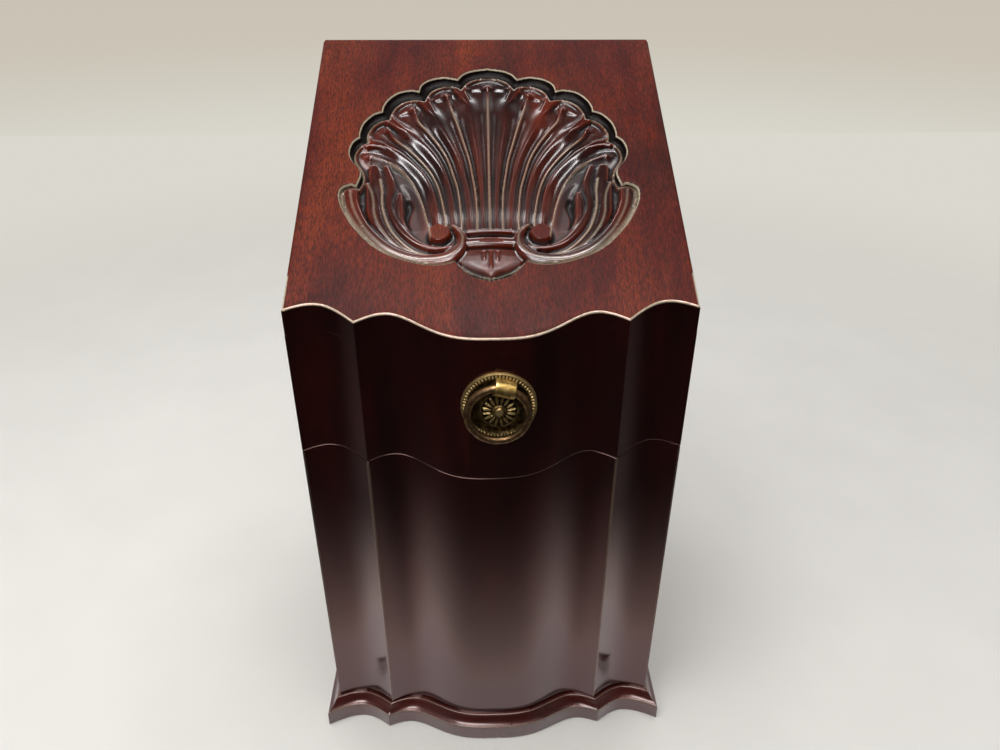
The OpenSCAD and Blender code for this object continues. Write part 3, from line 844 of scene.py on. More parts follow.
        # Each half outline closes a little past the middle
        sunk, field = (inside(x, v, np.vstack([line, [(-5, line[-1, 1]), (-5, line[0, 1])]]))
                       for line in (outer, inner))
        (to_outer, _), (to_inner, _) = nearest(x, v, outer), nearest(x, v, inner)
        ribs = [nearest(x, v, curve_through(rib)) for rib in self.ribs]
        strands = [nearest(x, v, curve_through(one.line)) for one in self.strands]
        last_rib = curve_through(self.ribs[-1])[::-1]
        past_fan = x - np.interp(v, last_rib[:, 1], last_rib[:, 0])
        t = to_outer / np.maximum(to_outer + to_inner, 1e-6)
        rise = np.clip((t - self.cove_end) / (1 - self.cove_end), 0, 1) ** 1.5
        cove = np.where(t < self.cove_end,
                        np.sqrt(np.clip(1 - (1 - t / self.cove_end) ** 2, 0, 1)),
                        1 - (1 - self.rim_level / -self.edge_depth) * rise)
        shell = self.within_rim(x, v, to_inner, past_fan, ribs, strands)
        height = np.where(field, shell, np.where(sunk, -self.edge_depth * cove, 0.0))
        gap = np.where(sunk, to_outer, -to_outer)
        # Pale lines on the rim, the ribs' arrises and the strands: worn wood and a painted
        # highlight. By the tail, the moat's outer wall gets a painted reflection.
        wear = 0.6 * ridge(to_inner, 0.45)
        for d, a in ribs[::2]:
            wear = np.maximum(wear, 0.62 * ridge(d, 0.36) * fade(a, 3, 14))
        by_tail = fade(x, 20, 34) * (1 - fade(v, 80, 88))
        wear = np.maximum(wear, 0.38 * by_tail * fade(-gap, -3.8, -1.4) * (gap > 0))
        for one, (d, _) in zip(self.strands, strands):
            wear = np.maximum(wear, one.worn * ridge(d, 0.45))
        return Carved(height, wear, gap, 1.0 * (sunk & ~field),
                      fade(past_fan, 0.4, 1.6) * (1 - fade(v, 100, 112)))

    def within_rim(self, x: Array, v: Array, to_rim: Array, past_fan: Array,
                   ribs: list[tuple[Array, Array]],
                   strands: list[tuple[Array, Array]]) -> Array:
        """Works out what lies inside the rim: the fan, the leaves, the collar and the eyes.

        Args:
            x: distances from the middle.
            v: distances up the slope.
            to_rim: distances to the rim.
            past_fan: distances outwards from the fan's last rib.
            ribs: for each rib the distance to it and along it.
            strands: for each strand the distance to it and along it.

        Returns:
            The height at each point.
        """
        fan = self.flutes(x, v, ribs)
        edge = fade(to_rim, 0, self.rim_w)
        low_field = fade(-v, -112, -96)
        lower = -5.2 * fade(to_rim, 0, 2.2)
        fan = np.where(past_fan > 0,
                       (1 - low_field) * fan + low_field * np.minimum(lower, fan), fan)
        shell = np.where(to_rim < self.rim_w, self.rim_level * (1 - edge) + fan * edge, fan)
        shell = np.where((v < 55.3) & (x < 30), self.floor, shell)
        shell = shell - 2.8 * (1 - fade(nearest(x, v, curve_through(self.pocket))[0], 0.6, 2.4))
        for one, (d, a) in zip(self.strands, strands):
            shell = np.maximum(shell, self.strand(one, d, a))
        band = curve_through(self.strands[-1].line)
        for aside in (-2.1, -0.4, 1.5):
            d, a = nearest(x, v, beside(band, aside))
            shell = shell - 0.5 * ridge(d, 0.45) * (1 - fade(a, 75, 100))
        shell = np.maximum(shell, self.collar(x, v))
        eye_x, eye_v, eye_r = self.eye
        r = np.hypot(x - eye_x, v - eye_v)
        shell = np.where(r < eye_r + 1.6, np.minimum(shell, -3.6), shell)
        return np.where(r < eye_r, -0.15 - 0.5 * fade(r, eye_r - 1.0, eye_r), shell)

    def flutes(self, x: Array, v: Array, ribs: list[tuple[Array, Array]]) -> Array:
        """Works out the fan of flutes.

        Args:
            x: distances from the middle.
            v: distances up the slope.
            ribs: for each rib the distance to it and along it.

        Returns:
            The height at each point.
        """
        cell = np.zeros(x.shape, int)
        lengths = []
        for line in map(curve_through, self.ribs):
            order = line[np.argsort(line[:, 1])]
            top, below = order[-1], order[-4]
            lean = (top[0] - below[0]) / (top[1] - below[1])
            cell += x > (np.interp(v, order[:, 1], order[:, 0])
                         + np.maximum(v - top[1], 0) * lean)
            lengths.append(np.sum(np.hypot(*np.diff(line, axis=0).T)))
        height = np.zeros(x.shape)
        for number in range(1, len(ribs) + 1):
            here = cell == number
            d0, a0 = (s[here] for s in ribs[number - 1])
            l0 = lengths[number - 1]
            d1, a1, l1 = self.past_last_rib * np.ones(d0.shape), a0, l0
            if number < len(ribs):
                (d1, a1), l1 = (s[here] for s in ribs[number]), lengths[number]
            part = d0 / np.maximum(d0 + d1, 1e-6)
            height[here] = self.flute(number, d0, d1, (1 - part) * a0 / l0 + part * a1 / l1,
                                      (1 - part) * a0 + part * a1)
        return height

    def flute(self, number: int, d0: Array, d1: Array, along: Array, run: Array) -> Array:
        """Works out one flute between two ribs.

        Args:
            number: the flute's place from the middle; odd ones have their arris on the inside.
            d0: distance to the inner rib.
            d1: distance to the outer rib.
            along: 0 at the tip and 1 at the collar.
            run: millimetres from the tip.

        Returns:
            The height at each point.
        """
        bowl = (self.rim_level - 0.9 * fade(along, 0.0, 0.2) - 3.6 * fade(along, 0.16, 0.62)
                + 2.6 * fade(along, 0.8, 1.0))
        to_arris, to_fillet = (d0, d1) if number % 2 else (d1, d0)
        to_arris = np.sqrt(to_arris ** 2 + self.crest ** 2) - self.crest * 0.8
        at_tip = 1 - fade(run, 4, 17)
        to_fillet = np.maximum(to_fillet - 2.4 * at_tip, 0)
        s = to_arris / np.maximum(to_arris + to_fillet, 0.4)
        thumbnail = np.sqrt(np.clip(4 * s * (1 - s), 0, 1))
        cross = thumbnail * at_tip + 6.75 * s * (1 - s) ** 2 * (1 - at_tip)
        if number == len(self.ribs):
            cross = fade(d0, 0, 5)
        tip = run - 2.2 + 3.2 * np.sqrt(np.clip(1 - (2 * s - 1) ** 2, 0, 1))
        spoon = np.sqrt(1 - (1 - np.clip(tip / 3.0, 0, 1)) ** 2)
        deep = 3.1 * (1 - fade(run, 5, 22)) + 2.1 * fade(run, 5, 30) - 0.9 * fade(along, 0.6, 1)
        return bowl - deep * cross * spoon

    def strand(self, one: Strand, d: Array, a: Array) -> Array:
        """Works out one strand's rounded back.

        Args:
            one: the strand.
            d: distances to its middle line.
            a: distances along it.

        Returns:
            Its height, or a very low value away from it.
        """
        line = curve_through(one.line)
        marks = np.cumsum([0, *np.hypot(*np.diff(line, axis=0).T)])[::6]
        width, crown = (np.interp(a, marks, run) for run in (one.half_widths, one.crown))
        s = np.clip(d / width, 0, 1)
        height = crown - one.rise * (1 - np.power(np.clip(1 - s * s, 0, 1), one.sharp))
        return np.where(d < width, height, self.away)

    def collar(self, x: Array, v: Array) -> Array:
        """Works out the two rolls of the collar and the tail below them.

        Args:
            x: distances from the middle.
            v: distances up the slope.

        Returns:
            The height, or a very low value away from them.
        """
        out, end = np.full(x.shape, self.away), 13
        for middle, half, crown, rise in ((52.8, 2.1, -0.8, 2.6), (45.2, 4.6, -0.1, 4.2)):
            s = np.abs(v - middle) / half
            roll = crown - rise * (1 - np.sqrt(np.clip(1 - s * s, 0, 1))) - (x / end) ** 2
            out = np.where((s < 1) & (x < end), roll, out)
        s = x / np.interp(v, (21.9, 23.6, 26.0, 29.6, 32.8, 40),
                          (0.01, 4.0, 8.8, 13.6, 16.8, 17.6))
        tail = -1.1 - 2.3 * s ** 2 - 0.9 * fade(-v, -27, -23)
        for place, low, high in ((0.0, 25.5, 40), (3.4, 30.5, 39.5)):
            tail = tail + (ridge(x - place, 0.8) * fade(v, low, low + 3)
                           * (1 - fade(v, high - 2, high)))
        return np.where((v < 40.4) & (v > 21.9) & (s < 1), np.maximum(tail, out), out)


def blurred(heights: Array, times: int) -> Array:
    """Softens a grid of heights a little, as a carver's scraper does.

    Args:
        heights: the grid.
        times: how often.

    Returns:
        The softened grid.
    """
    for _ in range(times):
        padded = np.pad(heights, 1, mode="edge")
        heights = (4 * heights + padded[:-2, 1:-1] + padded[2:, 1:-1] + padded[1:-1, :-2]
                   + padded[1:-1, 2:]) / 8
    return heights


@dataclass
class LidTop:
    """The lid's sloping top board with the shell carved into it."""

    cell: float = 0.62
    carved_x: float = 84.0
    carved_low: float = 14.5
    carved_high: float = 187.5
    arris: float = 1.2

    def lines(self) -> tuple[Array, Array]:
        """Spaces the mesh's columns and rows: fine on the shell, wider beyond it.

        Returns:
            The columns' X, and the rows' places up the slope; rows under carved_low are shares
            from -1 at the front edge to 0.
        """
        half, r = BOX.half_w - self.arris, BOX.corner_r
        top = BOX.depth / math.cos(SLOPE) - self.arris
        fine = np.arange(-self.carved_x, self.carved_x + 0.01, self.cell)
        side = np.concatenate([np.linspace(self.carved_x, half - r, 8)[1:],
                               np.linspace(half - r, half, 7)[1:]])
        xs = np.concatenate([-side[::-1], fine, side])
        for stop in (-LINE.arris_x, LINE.arris_x):
            xs[np.argmin(np.abs(xs - stop))] = stop
        return xs, np.concatenate([np.linspace(-1, 0, 12)[:-1],
                                   np.arange(self.carved_low, self.carved_high, self.cell),
                                   np.linspace(self.carved_high, top - r, 7),
                                   np.linspace(top - r, top, 7)[1:]])

    def build(self, top: Material, carved: Material, border: Material, front: Material,
              side: Material) -> None:
        """Makes the board.

        Args:
            top: the finish of its face.
            carved: the finish of the shell.
            border: the finish of the border round the shell.
            front: the finish of its front edge.
            side: the finish of its other edges.
        """
        x, share = np.meshgrid(*self.lines())
        front_v = (-LINE.reach(x) + self.arris) / math.cos(SLOPE)
        v = np.where(share <= 0, front_v * -share + self.carved_low * (1 + share), share)
        shell = ShellCarving().carve(x, v)
        h = blurred(shell.height, 1)
        sunk = fade(-h, 0.15, 0.7)
        lower = blurred(h, 10) - h
        at_tail = 0.5 * fade(-v, -37, -34) * (np.abs(x) < 15) * sunk
        marks = {
            "wear": shell.wear,
            # Hollows are painted darker in concave, deep and border places: dark wax and painted
            # shade.
            "hollow": np.clip(sunk * (np.clip(2.1 * lower - 0.05, 0, 0.88)
                                      + 0.2 * fade(-h, 1.5, 4.0) + 0.8 * shell.border), 0, 1),
            "shell": sunk + 2 * shell.border,
            "gap": PolishedMahogany.gap_zero + np.clip(shell.gap, -5, 5),
            # Raised carving is painted warmer and lighter: a painted highlight.
            "raised_highlight": sunk * np.clip(-1.3 * lower - 0.1, 0, 0.75) * (1 - shell.border),
            "matte": np.maximum(shell.ground * fade(-h, 2.2, 3.2), at_tail)}
        face = np.stack([x, BOX.front_y + v * math.cos(SLOPE) - h * math.sin(SLOPE),
                         BOX.front_h + v * math.sin(SLOPE) + h * math.cos(SLOPE)], axis=2)
        # Worn arrises and edges: added rows and columns that turn down round the board
        turns = [(self.arris * math.sin(a), self.arris * (1 - math.cos(a)))
                 for a in np.radians((30, 60, 90))]
        drops = [*turns, (self.arris, 1.6), (self.arris, BOX.top_drop)]
        points, down = self.wrapped(face, drops)
        marks = {name: np.pad(values, len(drops), mode="edge") for name, values in marks.items()}
        # The lid's front edge is painted pale: worn wood and a painted highlight.
        at_edge = (points[..., 1] < BOX.front_y + 20) & (down > 0.1) & (down < 1.0)
        marks["wear"] = np.maximum(marks["wear"], 0.95 * at_edge)
        piece = grid("lid_top_board", points)
        paint(piece, **marks)
        edit(piece, close_up)
        smooth(piece, 60)
        dress(piece, "lid", "mahogany", "lid_top", top, front, side, carved, border)
        faces = piece.data.polygons
        normals = np.array([f.normal for f in faces])
        level = np.abs(normals[:, 2])
        centres = np.array([f.center for f in faces]) / MM
        at_front = (level < 0.8) & (centres[:, 1] < BOX.front_y + 6) & (normals[:, 1] < -0.4)
        round_it = (level < 0.3) & ((np.abs(centres[:, 0]) > BOX.half_w - 2)
                                    | (centres[:, 1] > BOX.back_y - 2))
        at_shell = np.array([value.value for value in piece.data.attributes["shell"].data])
        at_shell = at_shell[[f.vertices[0] for f in faces]]
        index = np.select([at_front, round_it, at_shell > 1.5, at_shell > 0.5], [1, 2, 4, 3], 0)
        faces.foreach_set("material_index", index.astype(np.int32))

    def wrapped(self, points: Array, drops: Points) -> tuple[Array, Array]:
        """Adds the turned-down rows and columns all round, and rounds the back corners.

        Args:
            points: the face.
            drops: how far out and down each added line lies; the last is the underside's.

        Returns:
            The widened points, and how far each is turned down.
        """
        count = len(drops)
        points = np.pad(points, ((count, count), (count, count), (0, 0)), mode="edge")
        down = np.zeros(points.shape[:2])
        for number, (out, drop) in enumerate(drops):
            near, far = count - 1 - number, number - count
            for index, axis, sign in ((np.s_[near, :], 1, -1), (np.s_[far, :], 1, 1),
                                      (np.s_[:, near], 0, -1), (np.s_[:, far], 0, 1)):
                points[index][..., axis] += sign * out
                down[index] = np.maximum(down[index], drop)
        points[..., 2] -= down
        under = BOX.slope_z(BOX.front_h - BOX.top_drop, points[..., 1])
        points[..., 2] = np.where(down >= BOX.top_drop, under, points[..., 2])
        r = BOX.corner_r
        a = np.clip(np.abs(points[..., 0]) - BOX.half_w + r, 0, r)
        b = np.clip(points[..., 1] - BOX.back_y + r, 0, r)
        points[..., 0] -= np.sign(points[..., 0]) * a * (1 - np.sqrt(1 - b * b / (2 * r * r)))
        points[..., 1] -= b * (1 - np.sqrt(1 - a * a / (2 * r * r)))
        return points, down


# ---------------------------------------------------------------- walls and plinth


@dataclass
class BoxWalls:
    """The veneered walls of the box and of its lid, cut by one sloping joint."""

    bevel: float = 0.6

    def plans(self) -> tuple[Array, ...]:
        """Draws the boards' plans; the front's veneer runs to the corners, mitred to the sides.

        Returns:
            Rows of X and Y for the front, the left side, the right side and the back.
        """
        x, y = BOX.inner_x, BOX.back_y
        inner = front_points(-x, x, 4.0) + (0, BOX.front_t)
        angles = np.linspace(0, math.pi / 2, 6)
        rounded = np.column_stack([BOX.half_w - BOX.corner_r * (1 - np.cos(angles)),
                                   y - BOX.corner_r * (1 - np.sin(angles))])
        side = np.vstack([[(BOX.half_w, BOX.front_y)], rounded,
                          [(x, y), (x, BOX.front_y - float(LINE.reach(x)) + BOX.front_t)]])
        back = np.array([(-x, y - BOX.back_t), (x, y - BOX.back_t), (x, y), (-x, y)])
        return (np.vstack([front_points(-BOX.half_w, BOX.half_w), inner[::-1]]),
                (side * (-1, 1))[::-1], side, back)

    def build(self, front: Material, side: Material) -> None:
        """Makes the eight boards.

        Args:
            front: the finish of the front boards.
            side: the finish of the others.
        """
        for body, names, low, high in (
                ("carcass", ("front_panel", "side_panel_left", "side_panel_right", "back_panel"),
                 lambda y: np.zeros(len(y)), lambda y: BOX.slope_z(BOX.rim_h, y)),
                ("lid", ("lid_front", "lid_side_left", "lid_side_right", "lid_back"),
                 lambda y: BOX.slope_z(BOX.rim_h + BOX.gap, y),
                 lambda y: BOX.slope_z(BOX.front_h - BOX.top_drop, y))):
            for node, plan in zip(names, self.plans()):
                piece = prism(node + "_board", plan, low, high, self.bevel,
                              self.joined(body, low, high))
                self.wear_edges(piece)
                dress(piece, body, "mahogany", node, front if "front" in node else side)

    def joined(self, body: str, low: Surface, high: Surface) -> Surface:
        """Tells where a board meets its neighbours, so that no line shows in the veneer.

        Args:
            body: "carcass" or "lid".
            low: the underside's height at each Y.
            high: the top's height at each Y.

        Returns:
            A function that picks edges from their middles.
        """
        def found(middles: Array) -> Array:
            """Picks the edges at the glued end, and the upright ones away from the arrises."""
            at_low, at_high = (np.abs(middles[:, 2] - end(middles[:, 1])) < 0.1
                               for end in (low, high))
            on_arris = (body == "carcass") & (np.abs(np.abs(middles[:, 0]) - LINE.arris_x) < 0.2)
            return (at_high if body == "lid" else at_low) | (~at_low & ~at_high & ~on_arris)
        return found

    def wear_edges(self, piece: Piece) -> None:
        """Paints the rubbed arrises of a board pale: worn wood and a painted highlight."""
        x, y, z = points_of(piece).T
        outside = np.abs(y - (BOX.front_y - LINE.reach(x))) < 0.8
        near = np.minimum(np.abs(np.abs(x) - LINE.arris_x), np.abs(np.abs(x) - BOX.half_w))
        over = z - BOX.slope_z(BOX.rim_h, y)
        arris = outside & (near < 0.3) & (over < 0) & ("front" in piece.name)
        paint(piece, wear=0.12 * arris + 0.6 * (outside & (over > 0.33) & (over < 0.75)))


@dataclass
class Plinth:
    """The moulded plinth: a square face, a hollow and a small round, mitred at the corners."""

    face_h: float = 11.4
    steps: int = 7
    mitre: float = 1.45

    def profile(self) -> Array:
        """The moulding's section, as share of the full projection and height.

        Returns:
            Rows from the floor, up the face and over to the wall.
        """
        face = [(0.96, 0.0), (1.0, 0.4), (1.0, 1.2), (1.0, self.face_h - 1.4),
                (1.0, self.face_h - 0.6), (0.97, self.face_h - 0.15), (0.92, self.face_h + 0.1)]
        t = np.linspace(0.04, 0.96, self.steps)
        rise = (BOX.plinth_h - self.face_h - 0.4) * t - 0.9 * np.sin(math.pi * t)
        top = [(0.27, BOX.plinth_h - 0.45), (0.24, BOX.plinth_h - 0.1), (0.18, BOX.plinth_h),
               (0.0, BOX.plinth_h)]
        return np.array([(0.0, 0.0), *face,
                         *np.column_stack([0.92 - 0.64 * t, self.face_h + 0.1 + rise]), *top])

    def front_rings(self) -> Array:
        """Walks the section along the front.

        Returns:
            An array of sections by points by X, Y and Z.
        """
        out = BOX.plinth_out
        wide = FrontLine(BOX.half_w + out, LINE.bulge + out, LINE.hollow_x + 4, LINE.hollow + out,
                         LINE.arris_x + 2.5, LINE.arris + out - 1.2, LINE.outer_x,
                         out + LINE.outer, self.mitre * out)
        x = front_points(-BOX.half_w, BOX.half_w)[:, 0]
        wide_x = np.interp(np.abs(x), LINE.stops, wide.stops)
        return np.stack([
            np.column_stack([np.sign(x) * ((1 - share) * np.abs(x) + share * wide_x),
                             BOX.front_y - (1 - share) * LINE.reach(x)
                             - share * wide.reach(wide_x), np.full(len(x), z)])
            for share, z in self.profile()])

    def side_rings(self, side: int) -> Array:
        """Walks the section along a side.

        Args:
            side: -1 on the left, 1 on the right.

        Returns:
            An array of sections by points by X, Y and Z.
        """
        count, out = 12, BOX.plinth_out
        return np.stack([
            np.column_stack([np.full(count, side * (BOX.half_w + share * out)),
                             np.linspace(BOX.front_y - share * self.mitre * out, BOX.back_y,
                                         count), np.full(count, z)])
            for share, z in self.profile()])

    def build(self, material: Material) -> None:
        """Makes the three lengths of moulding."""
        for node, rings in (("plinth_front", self.front_rings()),
                            ("plinth_left", self.side_rings(-1)),
                            ("plinth_right", self.side_rings(1))):
            piece = grid(node + "_moulding", np.concatenate([rings, rings[:1]]))
            edit(piece, close_up)
            smooth(piece, 40)
            z = points_of(piece)[:, 2]
            # Pale lines on the moulding's arrises: worn wood and painted highlights.
            paint(piece, wear=sum(amount * (np.abs(z - height) < width) for amount, height, width
                                  in ((0.5, self.face_h - 0.15, 0.1),
                                      (0.4, BOX.plinth_h - 0.1, 0.05), (0.3, 0.4, 0.1))))
            dress(piece, "carcass", "mahogany", node, material)


# ---------------------------------------------------------------- the ring pull


@dataclass
class RingPull:
    """A cast backplate with a milled border and a flower, a folded strap and a ring."""

    x: float = 3.0
    z: float = 256.848
    seat_reach: float = 13.677
    turn: float = math.radians(13.0)
    ring_r: float = 15.3
    wire_r: float = 1.95
    ring_out: float = 7.9
    ring_drop: float = 2.4
    strap_w: float = 10.4
    strap_t: float = 1.2
    strap_in_r: float = 2.8
    strap_in: float = -9.0
    beads: int = 62
    petals: int = 16
    # The backplate's section, as distances from the middle and heights over its back
    section: Points = (
        (0, 10), (1.91, 9.7), (2.29, 8.9), (3.06, 8.9), (3.44, 8.1), (8.98, 7.5), (9.93, 7.7),
        (10.5, 6.1), (11.84, 3.8), (12.6, 2.8), (15.5, 2.9), (16.1, 3.9), (16.6, 4.1),
        (18.2, 4.1), (18.5, 4.5), (18.9, 4.4), (19.1, 3.6))

    def to_box(self, points: Array) -> Array:
        """Moves points from the pull's own frame to the box.

        Args:
            points: rows of right, up and out in millimetres.

        Returns:
            The same points in the box's frame.
        """
        right, up, out = np.moveaxis(points, -1, 0)
        c, s = math.cos(self.turn), math.sin(self.turn)
        return np.stack([self.x + right * c + up * s, BOX.front_y - self.seat_reach - out,
                         self.z - right * s + up * c], axis=-1)

    def relief(self, r: Array, angle: Array) -> tuple[Array, Array]:
        """Works out the flower's petals and the milled border, each from 0 to 1.

        Args:
            r: distances from the middle.
            angle: angles round it.

        Returns:
            The petals and the border's teeth.
        """
        tooth = np.sqrt(np.abs(np.sin(angle * self.beads / 2)))
        border = np.sqrt(np.clip(1 - ((r - 17.3) / 1.15) ** 2, 0, 1))
        leaf = np.abs(np.mod(angle * self.petals / (2 * math.pi), 1) - 0.5) * 2
        span = fade(r, 3.6, 4.3) * (1 - fade(r, 6.6 + 1.8 * leaf, 7.3 + 1.8 * leaf))
        width = 0.3 + 0.38 * fade(r, 3.6, 5.6) - 0.25 * fade(r, 6.0, 7.6)
        petal = np.sqrt(np.clip(1 - ((1 - leaf) / width) ** 2, 0, 1))
        return span * np.clip(petal - 0.45 * ridge(1 - leaf, 0.12), 0, 1), tooth * border

    def build_plate(self, material: Material) -> None:
        """Makes the backplate."""
        radii = np.concatenate([np.linspace(*run) for run in (
            (0.02, 3.4, 14), (3.6, 9.2, 20), (9.5, 12.6, 10), (13, 15.5, 5), (15.8, 19.1, 18))])
        r, a = np.meshgrid(radii, np.linspace(0, 2 * math.pi, 373), indexing="ij")
        petal, bead = self.relief(r, a)
        h = np.interp(r, *zip(*self.section)) + petal + bead
        flower, teeth, dish = (r > 3.4) & (r < 9.2), (r > 16.2) & (r < 18.4), (r > 9.2) & (r < 16)
        wear = np.clip(0.75 * petal + bead, 0, 1) + 0.6 * (h > 9.4) + 0.35 * (r > 18.7)
        hollow = 0.85 * flower * (1 - petal) + 0.8 * teeth * (1 - bead) + 0.5 * dish
        points = np.stack([r * np.cos(a), r * np.sin(a), h], axis=2)
        # The last row is the flat back, neither rubbed nor dark
        points = np.concatenate([points, points[-1:] * (1, 1, 0)])
        piece = grid("pull_backplate", self.to_box(points))
        paint(piece, **{name: np.concatenate([values, values[-1:] * 0])
                        for name, values in (("wear", wear), ("hollow", hollow))})
        edit(piece, close_up)
        smooth(piece, 55)
        dress(piece, "lid", "pull_bronze", "pull_plate", material)

    def build_ring(self, material: Material) -> None:
        """Makes the ring: a bent wire, a little worn where it rides in the strap."""
        clear_selection()
        bpy.ops.mesh.primitive_torus_add(major_segments=120, minor_segments=24,
                                         major_radius=self.ring_r * MM,
                                         minor_radius=self.wire_r * MM)
        piece = bpy.context.object
        piece.name = piece.data.name = "pull_ring_wire"
        points = points_of(piece)
        angle = np.arctan2(points[:, 1], points[:, 0])
        centre = np.column_stack([self.ring_r * np.cos(angle), self.ring_r * np.sin(angle),
                                  np.zeros(len(angle))])
        at_strap = ridge(angle - math.pi / 2, 0.3)
        points = centre + (points - centre) * (1 - 0.07 * at_strap)[:, None]
        place_points(piece, self.to_box(points + (0, -self.ring_drop, self.ring_out)))
        smooth(piece, 60)
        paint(piece, wear=0.2 + 0.5 * at_strap)
        dress(piece, "ring", "pull_bronze", "pull_ring", material)

    def build_strap(self, material: Material) -> None:
        """Makes the strap that is folded over the ring and driven through the board."""
        hinge = self.ring_r - self.ring_drop - 0.3
        middle_r = self.strap_in_r + self.strap_t / 2
        path = [(out, hinge + middle_r)
                for out in np.linspace(self.strap_in, self.ring_out, 9)]
        path += [(self.ring_out + middle_r * math.cos(t), hinge + middle_r * math.sin(t))
                 for t in np.radians(np.linspace(90, -235, 34))[1:]]
        across = np.linspace(-self.strap_w / 2, self.strap_w / 2, 9)
        points = np.array([[(x, up, out) for x in across] for out, up in path])
        piece = grid("pull_strap_fold", self.to_box(points))
        edit(piece, face_out)
        thick = piece.modifiers.new("metal", "SOLIDIFY")
        thick.thickness, thick.offset = self.strap_t * MM, 0.0
        edges = piece.modifiers.new("edges", "BEVEL")
        edges.width, edges.segments, edges.limit_method = 0.25 * MM, 2, "ANGLE"
        apply_all(piece)
        edit(piece, face_out)
        smooth(piece, 50)
        dress(piece, "lid", "strap_brass", "pull_strap", material)


# ---------------------------------------------------------------- linings


@dataclass
class Linings:
    """Green baize in the bottom of the well and under the lid's top."""

    well_z: float = 14.0
    rows: int = 40
    columns: int = 44

    def build(self, material: Material) -> None:
        """Makes the two cloths."""
        low = BOX.front_h - BOX.top_drop - BOX.baize_t
        plan_x = np.linspace(-BOX.inner_x, BOX.inner_x, self.columns)
        reach = LINE.reach(plan_x)
        y = np.linspace(BOX.front_y - reach + BOX.front_t,
                        np.full(self.columns, BOX.back_y - BOX.back_t), self.rows)
        for node, body, rest, z, tilt in (
                ("well_lining", "carcass", "bottom_board", np.full(y.shape, self.well_z), 1.0),
                ("lid_lining", "lid", "lid_top_board", BOX.slope_z(low, y), math.cos(SLOPE))):
            piece = grid(node + "_cloth", np.stack([np.broadcast_to(plan_x, y.shape), y, z],
                                                   axis=2))
            thick = piece.modifiers.new("cloth", "SOLIDIFY")
            thick.thickness, thick.offset = 0.8 * BOX.baize_t * MM, 1.0
            apply_all(piece)
            edit(piece, face_out)
            smooth(piece, 40)
            dress(piece, body, "baize", node, material)


# ---------------------------------------------------------------- the stage


@dataclass(frozen=True)
class Lamp:
    """A soft lamp: its place, the point that it faces and its size, in millimetres."""

    name: str
    at: tuple[float, float, float]
    aim: tuple[float, float, float]
    size: tuple[float, float]
    watts: float
    # Whether it only shows in polish, or only lights
    mirrored: bool = True

    def build(self) -> None:
        """Makes the lamp."""
        data = bpy.data.lights.new(self.name, "AREA")
        data.shape, data.energy = "RECTANGLE", self.watts
        data.size, data.size_y = (side * MM for side in self.size)
        lamp = bpy.data.objects.new(self.name, data)
        bpy.context.scene.collection.objects.link(lamp)
        away = (Vector(self.at) - Vector(self.aim)).normalized()
        lamp.matrix_world = (Matrix.Translation(Vector(self.at) * MM)
                             @ away.to_track_quat("Z", "Y").to_matrix().to_4x4())
        lamp.visible_camera = False
        lamp.visible_glossy, lamp.visible_diffuse = self.mirrored, not self.mirrored


